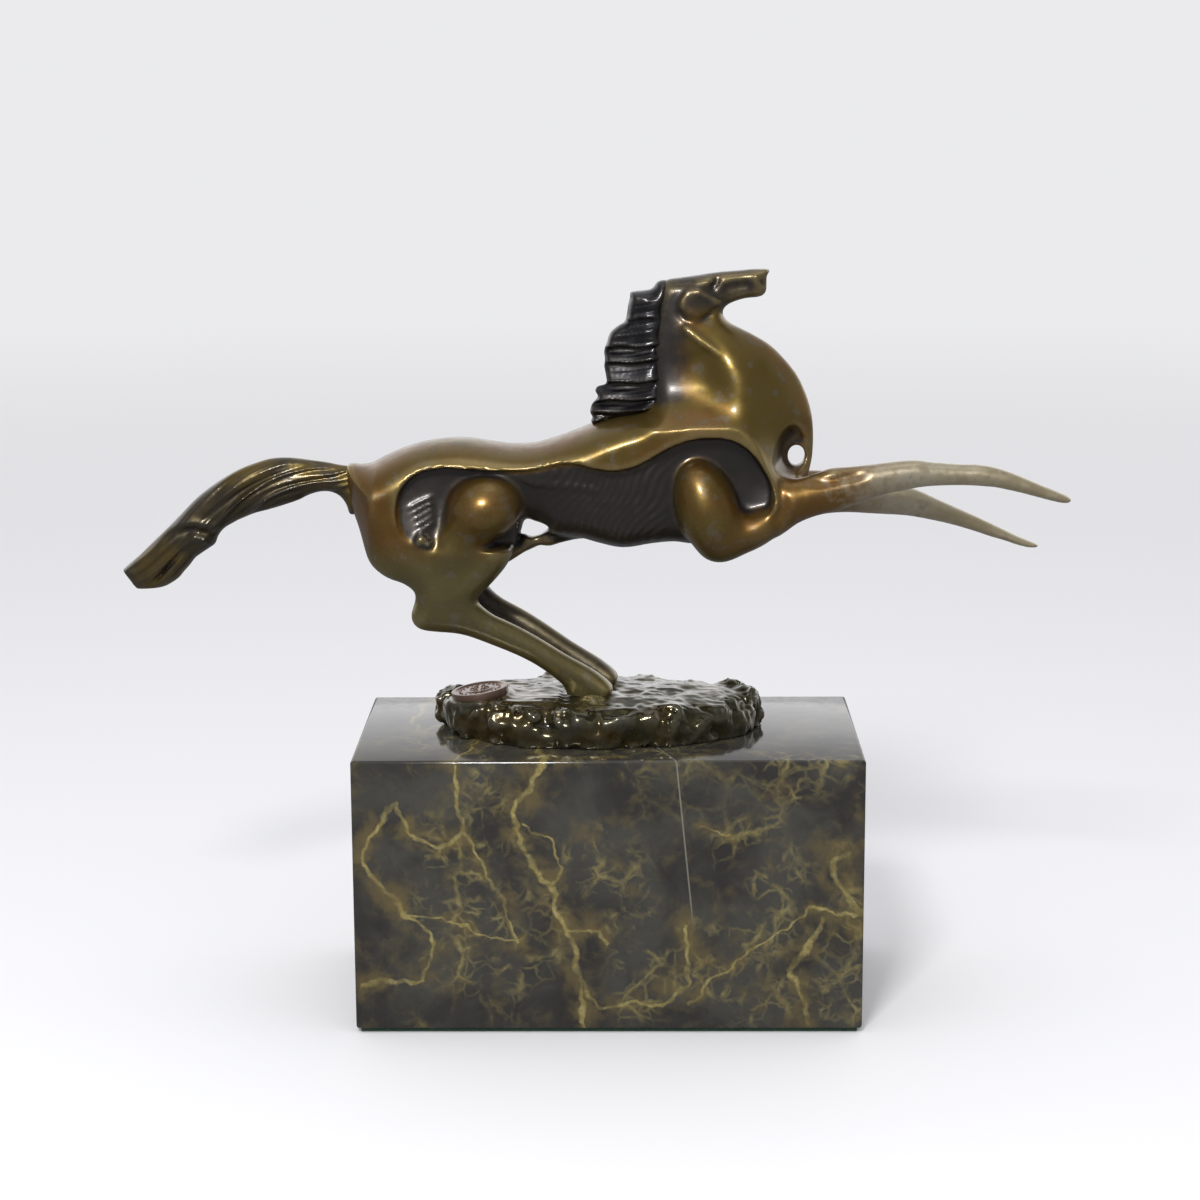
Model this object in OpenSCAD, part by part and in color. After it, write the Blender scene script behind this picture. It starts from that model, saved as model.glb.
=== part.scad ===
// Galloping bronze horse on a marble block.
// Origin: centre of the underside. +X is the way the horse runs, +Z is up.

/* [Marble block] */
// Length of the block along the horse
base_length = 170; // [130:1:240]
// Depth of the block across the horse
base_depth = 90; // [80:1:130]
// Height of the marble
base_height = 93; // [50:1:140]
// Bevel along the marble's edges
base_bevel = 1; // [0.5:0.1:3]
// Thickness of the felt under the block
felt_t = 1.5; // [1:0.1:4]
// Distance from the marble's edge to the felt's edge
felt_inset = 1.5; // [0.5:0.1:5]

/* [Horse] */
// Length of the horse from tail end to fore toe
horse_length = 321; // [250:1:400]

/* [Ground casting] */
// Length of the ground casting
ground_length = 117; // [90:1:150]
// Width of the ground casting
ground_width = 66; // [56:1:78]
// Height of the ground casting's top
ground_height = 14; // [12:1:24]
// Wall of the ground casting
ground_wall = 4.5; // [4:0.1:7]
// Diameter of the foundry seal
seal_d = 19.5; // [12:0.5:24]
// Thickness of the foundry seal
seal_t = 2.4; // [1.5:0.1:4]

/* [Fasteners] */
// Diameter of the two mounting studs
stud_d = 6; // [4:0.5:8]
// Distance between the studs
stud_spacing = 70; // [50:1:80]
// Clearance round a stud in the marble, on the diameter
stud_clearance = 1; // [0.4:0.1:3]
// Thickness of a washer
washer_t = 1.6; // [1:0.1:3]
// Thickness of a nut
nut_t = 5; // [3:0.1:8]
// Diameter of the screws into the hooves
screw_d = 4; // [3:0.1:5]
// Diameter of the pins in the joints of the casting
pin_d = 4; // [2.5:0.1:5]
// Depth that a pin goes into each casting
pin_depth = 8; // [5:0.5:10]

/* [Hidden] */

bronze = "#6b5a2e";
dark_bronze = "#3a3526";
copper = "#7a4a3a";
marble = "#3b3a34";
steel = "#9a9a98";
felt = "#1e3a28";

// The horse's own tables are drawn for a horse of this length, from the marble's top
drawn_length = 321;
k = horse_length / drawn_length;
marble_top = felt_t + base_height;
drawn_ground = 15;
horse_z = marble_top + ground_height + 1 - k * drawn_ground;
hoof_pad_rise = 1;
hoof_pad_z = ground_height + hoof_pad_rise;
hoof_pad_r = 8.5;
ground_centre_x = -4;
stud_x = [ground_centre_x - stud_spacing / 2, ground_centre_x + stud_spacing / 2];
// Thickness of a station's disc, and the overlap that joins two solids
disc_t = 0.2;
eps = 0.02;
// Reach of the cutting tools: across the horse, and along or above it
side_reach = 60;
far = 200;
through = 100;
along_x = [0, 90, 0];
upright = [0, 0, 0];

// Fastener sizes that follow from the driving ones
washer_d = 2.4 * stud_d;
nut_across = 1.66 * stud_d;
washer_play = 0.4;
spanner_room = 3;
stud_past_nut = 2;
nut_recess = 6;
counterbore_d = washer_d + spanner_room;
counterbore_depth = washer_t + nut_t + nut_recess;
boss_d = 2.2 * stud_d;
stud_in_boss = ground_height - ground_wall;
screw_head_d = 1.75 * screw_d;
screw_head_t = 0.55 * screw_d;
screw_in_hoof = 1.6 * screw_d;
socket_play = 0.05;

// Seal: its lean to the left, its place on the ground's left end, and the seat and clearing round it
seal_tilt = 8;
seal_place = [-0.36 * ground_length - 2, -0.11 * ground_width, ground_height - 0.6];
seal_seat_rim = 1.2;
seal_seat_t = ground_height - 3;
seal_clearing_rim = 2.5;
seal_clearing_t = 4;

// Ground: a steep skirt below and a rounder crown above
skirt_share = 0.65;
skirt_narrows = 0.965;
crown_inset = 3;
crown_narrows = 0.86;
cavity_narrows = 0.9;

// ---- Horse: where each section of the casting is cut, and where its pins are ----
tail_cut_x = -88;
haunch_cut_z = 64;
foreleg_cut_x = 58;
neck_line = [[18, 112], [74, 103]];
mane_line = [[17, 156], [17, 142], [15, 131], [17, 114], [18, 112], [10, 109.5], [0, 108], [-9, 106.5]];
tail_pin_at = [tail_cut_x, 0, 87.5];
neck_pins_at = [[34, 0, 109.4], [50, 0, 106.8]];
foreleg_pins_at = [[foreleg_cut_x, -12, 79], [foreleg_cut_x, 12, 77.5]];
hip_pins_at = [[-56, -14.5, haunch_cut_z], [-53, 14.5, haunch_cut_z]];
breast_overlap = 4;

// The core: centre x, z and radius along its two arms, and the mouth that it is dug out through
core_line = [[-62, 82, 9], [-30, 82, 7], [36, 86, 9]];
core_mouth = [42, 86, 4];
core_mouth_h = 30;

// Thigh and shoulder that swell out of the flank: centre, radius, then stretch, for each end
thigh = [[[-41, 14, 78], 10, [1, 1.15, 1]], [[-55, 15, 66], 10, [1.4, 0.8, 1]]];
shoulder = [[[32, 14, 84], 10, [1, 1.1, 1]], [[42, 14, 73], 12, [1, 0.9, 1]]];
hoof_at = [[-7, -8.5, drawn_ground], [-4, 8.5, drawn_ground]];

// ---- Stations: centre x, y, z, half height across the path, half width ----
torso = [[-89, 0, 82, 8, 9], [-84, 0, 80, 13.5, 17], [-76, 0, 77, 19, 22.5], [-66, 0, 77, 22, 25],
         [-54, 0, 79, 22, 26], [-42, 0, 82.5, 17.5, 25], [-30, 0, 83, 15.8, 24], [-20, 0, 83.5, 17, 24],
         [-8, 0, 85, 19.5, 24.5], [4, 0, 86, 21.5, 25], [16, 0, 87.5, 22.5, 25], [28, 0, 89, 23, 25],
         [40, 0, 88.5, 23, 24], [50, 0, 87.5, 20, 20], [58, 0, 86, 14.5, 15]];
neck = [[53, 0, 80, 11, 11], [50, 0, 87, 16.5, 15], [45, 0, 96, 23.5, 18], [43.5, 0, 106, 25.8, 17], [42.5, 0, 115, 25, 15.5],
        [38.5, 0, 125, 22.5, 13], [32, 0, 134, 17, 11], [28, 0, 141, 12, 9.5], [27, 0, 147, 9.5, 8]];
head = [[14, 0, 146, 5, 6], [20, 0, 148, 6, 7.5], [28, 0, 149, 6.8, 8.5], [36, 0, 151, 5.8, 7],
        [44, 0, 152.2, 4.8, 5], [50, 0, 153.1, 4.6, 4.8], [54, 0, 154, 3.8, 4.8]];
tail = [[-83, 0, 86.5, 5, 5], [-92, 0, 87.3, 5, 4.6], [-100, 0, 88, 5.6, 5], [-109, 0, 86.9, 7.8, 6],
        [-118, 0, 84.5, 8.6, 6.5], [-127, 0, 80.3, 8.6, 7], [-137, 0, 73, 8.2, 7],
        [-146, 0, 64.5, 8.4, 6.5], [-154.5, 0, 57.6, 7.4, 6], [-163.4, 0, 52.7, 5.4, 4.8]];
fore_right = [[46, -13, 77, 12, 11], [54, -13, 80, 11, 9.5], [61, -12.5, 81, 9, 8], [69, -12, 82.7, 7.4, 6.5],
              [79, -12, 85.2, 7, 5.5], [89, -12, 87.5, 5.8, 5], [99, -12, 89.5, 5, 4.6],
              [109, -12, 90, 4, 4.2], [119, -11.5, 89.5, 3.5, 4], [129, -11.5, 88.8, 3.4, 3.8],
              [139, -11, 86.2, 2.8, 3.4], [149, -11, 82.7, 2.1, 2.8], [155.2, -11, 81.2, 1.2, 1.8]];
fore_left = [[46, 13, 75, 11, 11], [54, 13, 77, 10, 9.5], [61, 12.5, 78, 8.4, 8], [70, 12, 78.5, 6.6, 6.5],
             [80, 12, 78.6, 5.6, 5.5], [90, 12, 77.6, 4.8, 5], [100, 12, 75.8, 4.4, 4.6],
             [110, 12, 73.5, 3.8, 4.2], [120, 12, 70.6, 3.2, 4], [130, 12, 67, 2.8, 3.6],
             [139, 11.5, 63.8, 2, 3], [147, 11, 62.2, 0.9, 1.6]];
gaskin = [[-60, 14, 78, 22, 11.5], [-59, 14.2, 70, 25, 11.5], [-58.5, 14.5, 63, 25, 11],
          [-58.5, 14.8, 58.5, 20.5, 9.5], [-56.5, 15, 54, 14.5, 8], [-54.5, 15.2, 49.5, 10.8, 7],
          [-54, 15.4, 45, 10.4, 6.2], [-53.5, 15.4, 41.5, 8, 5.5]];
cannon = [[-59, 15.4, 43.6, 5.6, 5.4], [-53, 15.4, 42.4, 6, 5.6], [-46, 15, 40.4, 5.8, 5],
          [-38, 14, 37.4, 5.2, 4.5], [-30, 12.6, 33.4, 4.9, 4.1], [-20, 10.8, 26.8, 4.7, 4],
          [-11, 9.2, 20.4, 4.4, 4.3], [-4, 8.2, 14.6, 4.2, 4.7]];
// How far the left hind leg stands ahead of the right one at its hock and at its toe
left_lead = [3.5, 0, -0.5];
left_lead_toe = [3, 0, -0.5];

// ---- Outlines in the side view ----
flank_hollow = [[-70, 79], [-68, 87.5], [-60, 93], [-45, 93.2], [-25, 92.8], [-12, 95], [2, 92.7],
                [12, 95.5], [22, 101.5], [34, 103.2], [45, 100.5], [51, 94], [54, 84], [52, 74],
                [40, 66], [26, 60], [0, 58], [-26, 60], [-30, 71], [-46, 69], [-58, 66], [-67, 71]];
flank_depth = 15;
breast_hole = [63.8, 94.8, 3.1];
flank_hole = [-23.8, 69, 3.2];
locks = [[[18, 155], [7, 150.5], [6, 141], [20, 141]], [[18, 143], [6.5, 141], [0, 134], [18, 133]],
         [[18, 135], [-0.2, 133.4], [-1.2, 129.6], [18, 129]], [[18, 131], [-1.2, 129], [-1.2, 123.5], [18, 124]],
         [[19, 126], [-0.6, 123], [-0.6, 119], [19, 119]], [[19, 121], [-4, 118.6], [-3.6, 115], [19, 114]],
         [[19, 115], [-5.2, 113.4], [-5.6, 108.6], [19, 110]]];
// Half thickness of the locks at the crest, near the ends and at the ends
lock_root = 6.5;
lock_tip = 3;
lock_end = 1;

// A smooth value through four neighbours, t from 0 to 1 between the middle two
function spline(a, b, c, d, t) =
    0.5 * (2 * b + (c - a) * t + (2 * a - 5 * b + 4 * c - d) * t * t + (3 * b - a - 3 * c + d) * t * t * t);

function row(list, i) = list[max(0, min(len(list) - 1, i))];

// Stations with n steps between each pair of given ones
function finer(list, n) = [
    for (i = [0:len(list) - 2], j = [0:n - 1])
        spline(row(list, i - 1), list[i], list[i + 1], row(list, i + 2), j / n),
    list[len(list) - 1]
];

// Slope of the path at a station, seen from the side
function slope(list, i) =
    let (a = row(list, i - 1), b = row(list, i + 1)) -atan2(abs(b[0] - a[0]) < eps ? 1 : (b[2] - a[2])
        * sign(b[0] - a[0]), abs(b[0] - a[0]));

function mirrored(list) = [for (s = list) [s[0], -s[1], s[2], s[3], s[4]]];

module section(s, tilt) {
    translate([s[0], s[1], s[2]])
        rotate([0, tilt, 0])
            scale([1, s[4], s[3]])
                rotate([0, 90, 0])
                    cylinder(h = disc_t, r = 1, center = true, $fn = 28);
}

// Solid through oval sections; the sections stand upright, lie flat or follow the path
module loft(stations, n, stand) {
    fine = finer(stations, n);
    for (i = [0:len(fine) - 2]) {
        tilt_a = stand == "upright" ? 0 : stand == "flat" ? 90 : slope(fine, i);
        tilt_b = stand == "upright" ? 0 : stand == "flat" ? 90 : slope(fine, i + 1);
        hull() {
            section(fine[i], tilt_a);
            section(fine[i + 1], tilt_b);
        }
    }
}

// A side-view outline, stretched across the horse from y0 to y1
module across(outline, y0, y1) {
    translate([0, y1, 0])
        rotate([90, 0, 0])
            linear_extrude(height = y1 - y0)
                polygon(outline);
}

module side_hole(at) {
    translate([at[0], 0, at[1]])
        rotate([90, 0, 0])
            cylinder(h = through, r = at[2], center = true, $fn = 32);
}

// Puts a drawn piece of the horse at its size and place
module horse() {
    translate([0, 0, horse_z])
        scale(k)
            children();
}

function placed(p) = [k * p[0], k * p[1], k * p[2] + horse_z];

// The pins' solids, a little wider when they cut their sockets
module pins(list, turn, extra) {
    for (p = list)
        translate(placed(p))
            rotate(turn)
                cylinder(h = 2 * (pin_depth + extra), d = pin_d + 2 * extra, center = true, $fn = 24);
}

module above_neck_line() {
    across(concat(neck_line, [[74, far], [-20, far], [-20, 112]]), -side_reach, side_reach);
}

module behind_mane_line() {
    across(concat(mane_line, [[-40, 106.5], [-40, far], [17, far]]), -side_reach, side_reach);
}

// A box that reaches from the given x and z across the whole horse
module block_from(x, z, length, height) {
    translate([x, -side_reach, z])
        cube([length, 2 * side_reach, height]);
}

// ---- Pieces ----
module marble_base() {
    color(marble)
        difference() {
            hull()
                for (t = [[1, 1, 0], [1, 0, 1], [0, 1, 1]])
                    translate([0, 0, felt_t + base_height / 2])
                        cube([base_length - 2 * base_bevel * (1 - t[0]), base_depth - 2 * base_bevel * (1 - t[1]),
                              base_height - 2 * base_bevel * (1 - t[2])], center = true);
            for (x = stud_x)
                translate([x, 0, 0]) {
                    cylinder(h = 2 * marble_top, d = stud_d + stud_clearance, $fn = 48);
                    cylinder(h = felt_t + counterbore_depth, d = counterbore_d, $fn = 48);
                }
        }
}

module felt_pad() {
    color(felt)
        translate([0, 0, felt_t / 2])
            cube([base_length - 2 * felt_inset, base_depth - 2 * felt_inset, felt_t], center = true);
}

// Uneven oval, set in by the given distance
function oval(length, width, inset) = [
    for (a = [0:10:350])
        let (r = 1 + 0.022 * sin(3 * a + 40) + 0.016 * sin(5 * a) + 0.01 * sin(11 * a))
            [(length / 2 / 1.03 * r - inset) * cos(a), (width / 2 / 1.03 * r - inset) * sin(a)]
];

module ground_layer(z0, z1, inset, top_scale) {
    translate([ground_centre_x, 0, marble_top + z0])
        linear_extrude(height = z1 - z0, scale = top_scale)
            polygon(oval(ground_length, ground_width, inset));
}

module ground_casting() {
    color(dark_bronze)
        difference() {
            union() {
                ground_layer(0, skirt_share * ground_height, 0, skirt_narrows);
                ground_layer(skirt_share * ground_height - eps, ground_height, crown_inset, crown_narrows);
                for (p = hoof_at)
                    translate([k * p[0], k * p[1], marble_top + ground_wall])
                        cylinder(h = hoof_pad_z - ground_wall, r = hoof_pad_r, $fn = 32);
                on_seal_seat(seal_d / 2 + seal_seat_rim, seal_seat_t, 0);
            }
            difference() {
                ground_layer(-1, ground_height - ground_wall, ground_wall, cavity_narrows);
                for (x = stud_x)
                    translate([x, 0, marble_top])
                        cylinder(h = ground_height, d = boss_d, $fn = 48);
            }
            for (x = stud_x)
                translate([x, 0, marble_top - 1])
                    cylinder(h = stud_in_boss + 1, d = stud_d, $fn = 48);
            for (p = hoof_at)
                translate([k * p[0], k * p[1], marble_top])
                    cylinder(h = 2 * ground_height, d = screw_d + 2 * socket_play, $fn = 32);
            on_seal_seat(seal_d / 2 + seal_clearing_rim, seal_clearing_t, seal_clearing_t);
        }
}

// A disc on the seal's tilted seat, its top lifted by the given distance
module on_seal_seat(r, h, lift) {
    translate([seal_place[0], seal_place[1], marble_top + seal_place[2] + lift])
        rotate([0, -seal_tilt, 0])
            translate([0, 0, -h])
                cylinder(h = h, r = r, $fn = 48);
}

module foundry_seal() {
    color(copper)
        on_seal_seat(seal_d / 2, seal_t, seal_t);
}

module mounting_studs() {
    color(steel)
        for (x = stud_x)
            translate([x, 0, felt_t + counterbore_depth - washer_t - nut_t - stud_past_nut])
                cylinder(h = base_height - counterbore_depth + washer_t + nut_t + stud_past_nut + stud_in_boss,
                         d = stud_d, $fn = 48);
}

module stud_washers() {
    color(steel)
        for (x = stud_x)
            translate([x, 0, felt_t + counterbore_depth - washer_t])
                difference() {
                    cylinder(h = washer_t, d = washer_d, $fn = 48);
                    translate([0, 0, -1])
                        cylinder(h = washer_t + 2, d = stud_d + washer_play, $fn = 48);
                }
}

module stud_nuts() {
    color(steel)
        for (x = stud_x)
            translate([x, 0, felt_t + counterbore_depth - washer_t - nut_t])
                difference() {
                    cylinder(h = nut_t, d = nut_across / cos(30), $fn = 6);
                    translate([0, 0, -1])
                        cylinder(h = nut_t + 2, d = stud_d, $fn = 48);
                }
}

module hoof_screws() {
    wall_under = marble_top + ground_height - ground_wall;
    color(steel)
        for (p = hoof_at)
            translate([k * p[0], k * p[1], wall_under]) {
                cylinder(h = hoof_pad_z - ground_height + ground_wall + screw_in_hoof, d = screw_d, $fn = 32);
                translate([0, 0, -screw_head_t])
                    cylinder(h = screw_head_t, d = screw_head_d, $fn = 32);
            }
}

module torso_shape() {
    difference() {
        union() {
            loft(torso, 2, "upright");
            loft(neck, 1, "flat");
            loft(mirrored(gaskin), 1, "flat");
            loft(led_from_top(gaskin), 1, "flat");
        }
        for (side = [-1, 1])
            across(flank_hollow, side < 0 ? -side_reach : flank_depth, side < 0 ? -flank_depth : side_reach);
    }
    for (side = [-1, 1])
        scale([1, side, 1]) {
            muscle(thigh);
            muscle(shoulder);
        }
}

module muscle(ends) {
    hull()
        for (e = ends)
            translate(e[0])
                scale(e[2])
                    sphere(r = e[1], $fn = 28);
}

module in_front_of_shoulders() {
    block_from(foreleg_cut_x, 0, far, far);
}

// Keel of the breast, between the forelegs
module breast() {
    intersection() {
        loft(neck, 1, "flat");
        block_from(foreleg_cut_x - breast_overlap, 0, far, far);
    }
}

module torso_casting() {
    color(bronze)
        difference() {
            horse()
                difference() {
                    union() {
                        difference() {
                            union() {
                                torso_shape();
                                loft(fore_right, 1, "path");
                                loft(fore_left, 1, "path");
                            }
                            in_front_of_shoulders();
                        }
                        breast();
                    }
                    above_neck_line();
                    behind_mane_line();
                    block_from(-120, 0, 100, haunch_cut_z);
                    block_from(tail_cut_x - far, 0, far, far);
                    side_hole(breast_hole);
                    side_hole(flank_hole);
                    core();
                }
            pins([tail_pin_at], along_x, socket_play);
            pins(neck_pins_at, upright, socket_play);
            pins(foreleg_pins_at, along_x, socket_play);
            pins(hip_pins_at, upright, socket_play);
        }
}

// Space that the core leaves inside the torso
module core() {
    for (i = [0:len(core_line) - 2])
        hull()
            for (p = [core_line[i], core_line[i + 1]])
                translate([p[0], 0, p[1]])
                    sphere(r = p[2], $fn = 24);
    translate([core_mouth[0], 0, core_mouth[1]])
        cylinder(h = core_mouth_h, r = core_mouth[2], $fn = 24);
}

module neck_and_head() {
    color(bronze)
        difference() {
            horse()
                difference() {
                    intersection() {
                        union() {
                            loft(neck, 1, "flat");
                            loft(head, 2, "upright");
                            loft(torso, 1, "upright");
                        }
                        above_neck_line();
                    }
                    behind_mane_line();
                }
            pins(neck_pins_at, upright, socket_play);
        }
}

module mane_casting() {
    color(dark_bronze)
        horse()
            intersection() {
                for (l = locks)
                    hull() {
                        across([l[0], l[3], (l[2] + l[3]) / 2, (l[0] + l[1]) / 2], -lock_root, lock_root);
                        across(l, -lock_tip, lock_tip);
                        across([l[1], l[2], (l[1] + l[2]) / 2 + [1, 0]], -lock_end, lock_end);
                    }
                behind_mane_line();
            }
}

module tail_casting() {
    color(bronze)
        difference() {
            horse()
                difference() {
                    loft(tail, 2, "path");
                    block_from(tail_cut_x, 0, far, far);
                }
            pins([tail_pin_at], along_x, socket_play);
        }
}

module foreleg(stations, pin) {
    color(bronze)
        difference() {
            horse()
                difference() {
                    intersection() {
                        loft(stations, 1, "path");
                        in_front_of_shoulders();
                    }
                    loft(neck, 1, "flat");
                }
            pins([pin], along_x, socket_play);
        }
}

module right_foreleg() {
    foreleg(fore_right, foreleg_pins_at[0]);
}

module left_foreleg() {
    foreleg(fore_left, foreleg_pins_at[1]);
}

// Hind leg from the cut below the haunch to the hoof; lead moves the lower leg forward
module hind_leg(leg_gaskin, leg_cannon, pin, screw) {
    color(bronze)
        difference() {
            horse()
                difference() {
                    union() {
                        loft(leg_gaskin, 1, "flat");
                        loft(leg_cannon, 2, "path");
                    }
                    block_from(-120, haunch_cut_z, far, far);
                    block_from(-30, drawn_ground - far, far, far);
                }
            pins([pin], upright, socket_play);
            translate([k * screw[0], k * screw[1], marble_top + hoof_pad_z - hoof_pad_rise])
                cylinder(h = screw_in_hoof + hoof_pad_rise, d = screw_d + 2 * socket_play, $fn = 24);
        }
}

function led(list) = [
    for (i = [0:len(list) - 1])
        let (t = i / (len(list) - 1), move = left_lead * (1 - t) + left_lead_toe * t)
            [list[i][0] + move[0], list[i][1], list[i][2] + move[2], list[i][3], list[i][4]]
];

function led_from_top(list) = [
    for (i = [0:len(list) - 1])
        let (t = i / (len(list) - 1))
            [list[i][0] + left_lead[0] * t, list[i][1], list[i][2] + left_lead[2] * t, list[i][3], list[i][4]]
];

module right_hind_leg() {
    hind_leg(mirrored(gaskin), mirrored(cannon), hip_pins_at[0], hoof_at[0]);
}

module left_hind_leg() {
    hind_leg(led_from_top(gaskin), led(cannon), hip_pins_at[1], hoof_at[1]);
}

module tail_pin() {
    color(steel)
        pins([tail_pin_at], along_x, 0);
}

module neck_pins() {
    color(steel)
        pins(neck_pins_at, upright, 0);
}

module foreleg_pins() {
    color(steel)
        pins(foreleg_pins_at, along_x, 0);
}

module hip_pins() {
    color(steel)
        pins(hip_pins_at, upright, 0);
}

marble_base();
felt_pad();
ground_casting();
foundry_seal();
mounting_studs();
stud_washers();
stud_nuts();
hoof_screws();
torso_casting();
neck_and_head();
mane_casting();
tail_casting();
right_foreleg();
left_foreleg();
right_hind_leg();
left_hind_leg();
tail_pin();
neck_pins();
foreleg_pins();
hip_pins();
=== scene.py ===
"""Galloping bronze horse on a polished marble block.

The castings are modelled as clay: side-view outlines and thicknesses in millimetres fill a space of
voxels, which is then skinned, smoothed and cut into the pieces that a founder would cast and join.
The block, its felt and the seal are turned and bevelled from primitives.
"""
import math

import bpy
import numpy as np
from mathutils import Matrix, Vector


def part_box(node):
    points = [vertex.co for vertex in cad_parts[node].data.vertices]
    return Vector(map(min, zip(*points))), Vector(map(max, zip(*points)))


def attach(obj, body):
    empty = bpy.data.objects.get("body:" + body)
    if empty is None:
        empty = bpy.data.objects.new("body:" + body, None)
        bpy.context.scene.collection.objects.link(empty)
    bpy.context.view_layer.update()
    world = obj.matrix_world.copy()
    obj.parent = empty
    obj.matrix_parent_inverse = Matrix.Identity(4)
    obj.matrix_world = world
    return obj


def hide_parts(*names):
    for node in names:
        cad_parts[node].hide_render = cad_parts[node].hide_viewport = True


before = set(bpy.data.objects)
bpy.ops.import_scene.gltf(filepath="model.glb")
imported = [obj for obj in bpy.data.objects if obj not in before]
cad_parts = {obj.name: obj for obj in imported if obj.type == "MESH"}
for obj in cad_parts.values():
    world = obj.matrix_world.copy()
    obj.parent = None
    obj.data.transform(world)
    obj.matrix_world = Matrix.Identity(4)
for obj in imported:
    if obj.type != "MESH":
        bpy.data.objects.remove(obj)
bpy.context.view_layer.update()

import openvdb
from bpy.props import FloatProperty, FloatVectorProperty, PointerProperty
from mathutils import Matrix, Vector

bl_info = {
    "name": "Galloping Horse Bronze",
    "version": (1, 0, 0),
    "blender": (4, 5, 0),
    "location": "View3D > Sidebar > Bronze",
    "description": "Models a galloping bronze horse on a marble block, piece by piece",
    "category": "Add Mesh",
}

MM = 0.001
REACH = 9  # voxels on each side of a skin that hold true distances


# ---------------------------------------------------------------- places from the frame, in mm

def box_mm(node):
    """A CAD node's low and high corners in mm."""
    low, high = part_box(node)
    return np.array(low) / MM, np.array(high) / MM


MARBLE_LOW, MARBLE_HIGH = box_mm("marble_base")
FELT_LOW, FELT_HIGH = box_mm("felt_pad")
SEAL_LOW, SEAL_HIGH = box_mm("foundry_seal")
GROUND_LOW, GROUND_HIGH = box_mm("ground_casting")
MARBLE_TOP = MARBLE_HIGH[2]
HIP_JOINT_Z = box_mm("right_hind_leg")[1][2]
FORELEG_JOINT_X = box_mm("right_foreleg")[0][0]
NECK_JOINT = ((18.0, MARBLE_TOP + 112.0), (74.0, MARBLE_TOP + 103.0))
HOOF_Z = MARBLE_TOP + 14.2  # the soles of the hind hooves on the ground casting
KEEL_HALF = 5.2  # half the width of the torso between the forelegs
LEFT_LEAD = 1.6  # how far the left hind leg stands ahead of the right one
STUD_X = (-39.0, 31.0)
GROUND_MID_X = -4.0
HOOF_PADS = ((-5, -8.5), (-2, 8.5))  # x, y
SEAL_R = 9.75
SEAL_THICK = 2.4
SEAL_TILT = math.radians(8)
CAST_NODES = {
    "torso": "torso_casting", "neck_with_head": "neck_and_head", "foreleg_right": "right_foreleg",
    "foreleg_left": "left_foreleg", "hind_leg_right": "right_hind_leg", "hind_leg_left": "left_hind_leg",
}
FASTENERS = ("mounting_studs", "stud_washers", "stud_nuts", "hoof_screws", "tail_pin", "neck_pins",
             "foreleg_pins", "hip_pins")
CAMERA_PLACE = (0.00787, -0.89095, 0.32326)
CAMERA_TURN = (-0.69, 11.66, -0.267)  # yaw, pitch down and roll in degrees


# ---------------------------------------------------------------- clay: outlines and thicknesses

def flow(points, closed, steps):
    """A smooth line through the given points."""
    p = np.array(points, dtype=float)
    if closed:
        a, b, c, d = np.roll(p, 1, 0), p, np.roll(p, -1, 0), np.roll(p, -2, 0)
    else:
        q = np.vstack([p[:1], p, p[-1:]])
        a, b, c, d = q[:-3], q[1:-2], q[2:-1], q[3:]
    out = []
    for i in range(steps):
        t = i / steps
        out.append(0.5 * (2 * b + (c - a) * t + (2 * a - 5 * b + 4 * c - d) * t * t
                          + (3 * b - a - 3 * c + d) * t ** 3))
    line = np.stack(out, axis=1).reshape(-1, p.shape[1])
    return line if closed else np.vstack([line, p[-1:]])


def to_line(line, X, Z, closed):
    """Distance from each place to the nearest point of a line, and where along it that is."""
    start = line if closed else line[:-1]
    end = np.roll(line, -1, 0) if closed else line[1:]
    best = np.full(X.shape, 1e9)
    along = np.zeros(X.shape)
    for i, ((ax, az), (bx, bz)) in enumerate(zip(start, end)):
        dx, dz = bx - ax, bz - az
        t = np.clip(((X - ax) * dx + (Z - az) * dz) / max(dx * dx + dz * dz, 1e-9), 0, 1)
        d = (X - ax - t * dx) ** 2 + (Z - az - t * dz) ** 2
        near = d < best
        best = np.where(near, d, best)
        along = np.where(near, (i + t) / len(start), along)
    return np.sqrt(best), along


def inside(line, X, Z):
    """True within a closed line."""
    hit = np.zeros(X.shape, dtype=bool)
    for (ax, az), (bx, bz) in zip(line, np.roll(line, -1, 0)):
        if az == bz:
            continue
        crosses = (az > Z) != (bz > Z)
        hit ^= crosses & (X < (bx - ax) * (Z - az) / (bz - az) + ax)
    return hit


def depth_in(points, X, Z, steps=5):
    """Distance from a closed outline, positive inside it."""
    line = flow(points, True, steps)
    d = to_line(line, X, Z, True)[0]
    return np.where(inside(line, X, Z), d, -d)


def sheet(points, X, Z):
    """A smooth surface through the given heights: rows of x, z, height."""
    p = np.array(points, dtype=float)
    at, value = p[:, :2] / 50.0, p[:, 2]
    n = len(p)

    def kernel(d2):
        return np.where(d2 > 0, d2 * np.log(np.maximum(d2, 1e-12)), 0.0)

    gap = ((at[:, None] - at[None]) ** 2).sum(-1)
    a = np.zeros((n + 3, n + 3))
    a[:n, :n] = kernel(gap)
    a[:n, n] = a[n, :n] = 1
    a[:n, n + 1:] = at
    a[n + 1:, :n] = at.T
    w = np.linalg.solve(a, np.concatenate([value, np.zeros(3)]))
    out = w[n] + w[n + 1] * X / 50.0 + w[n + 2] * Z / 50.0
    for i in range(n):
        out = out + w[i] * kernel((X / 50.0 - at[i, 0]) ** 2 + (Z / 50.0 - at[i, 1]) ** 2)
    return out


def ease(x, low, high):
    """Rises smoothly from 0 at the low limit to 1 at the high one."""
    t = np.clip((x - low) / (high - low), 0, 1)
    return t * t * (3 - 2 * t)


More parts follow.
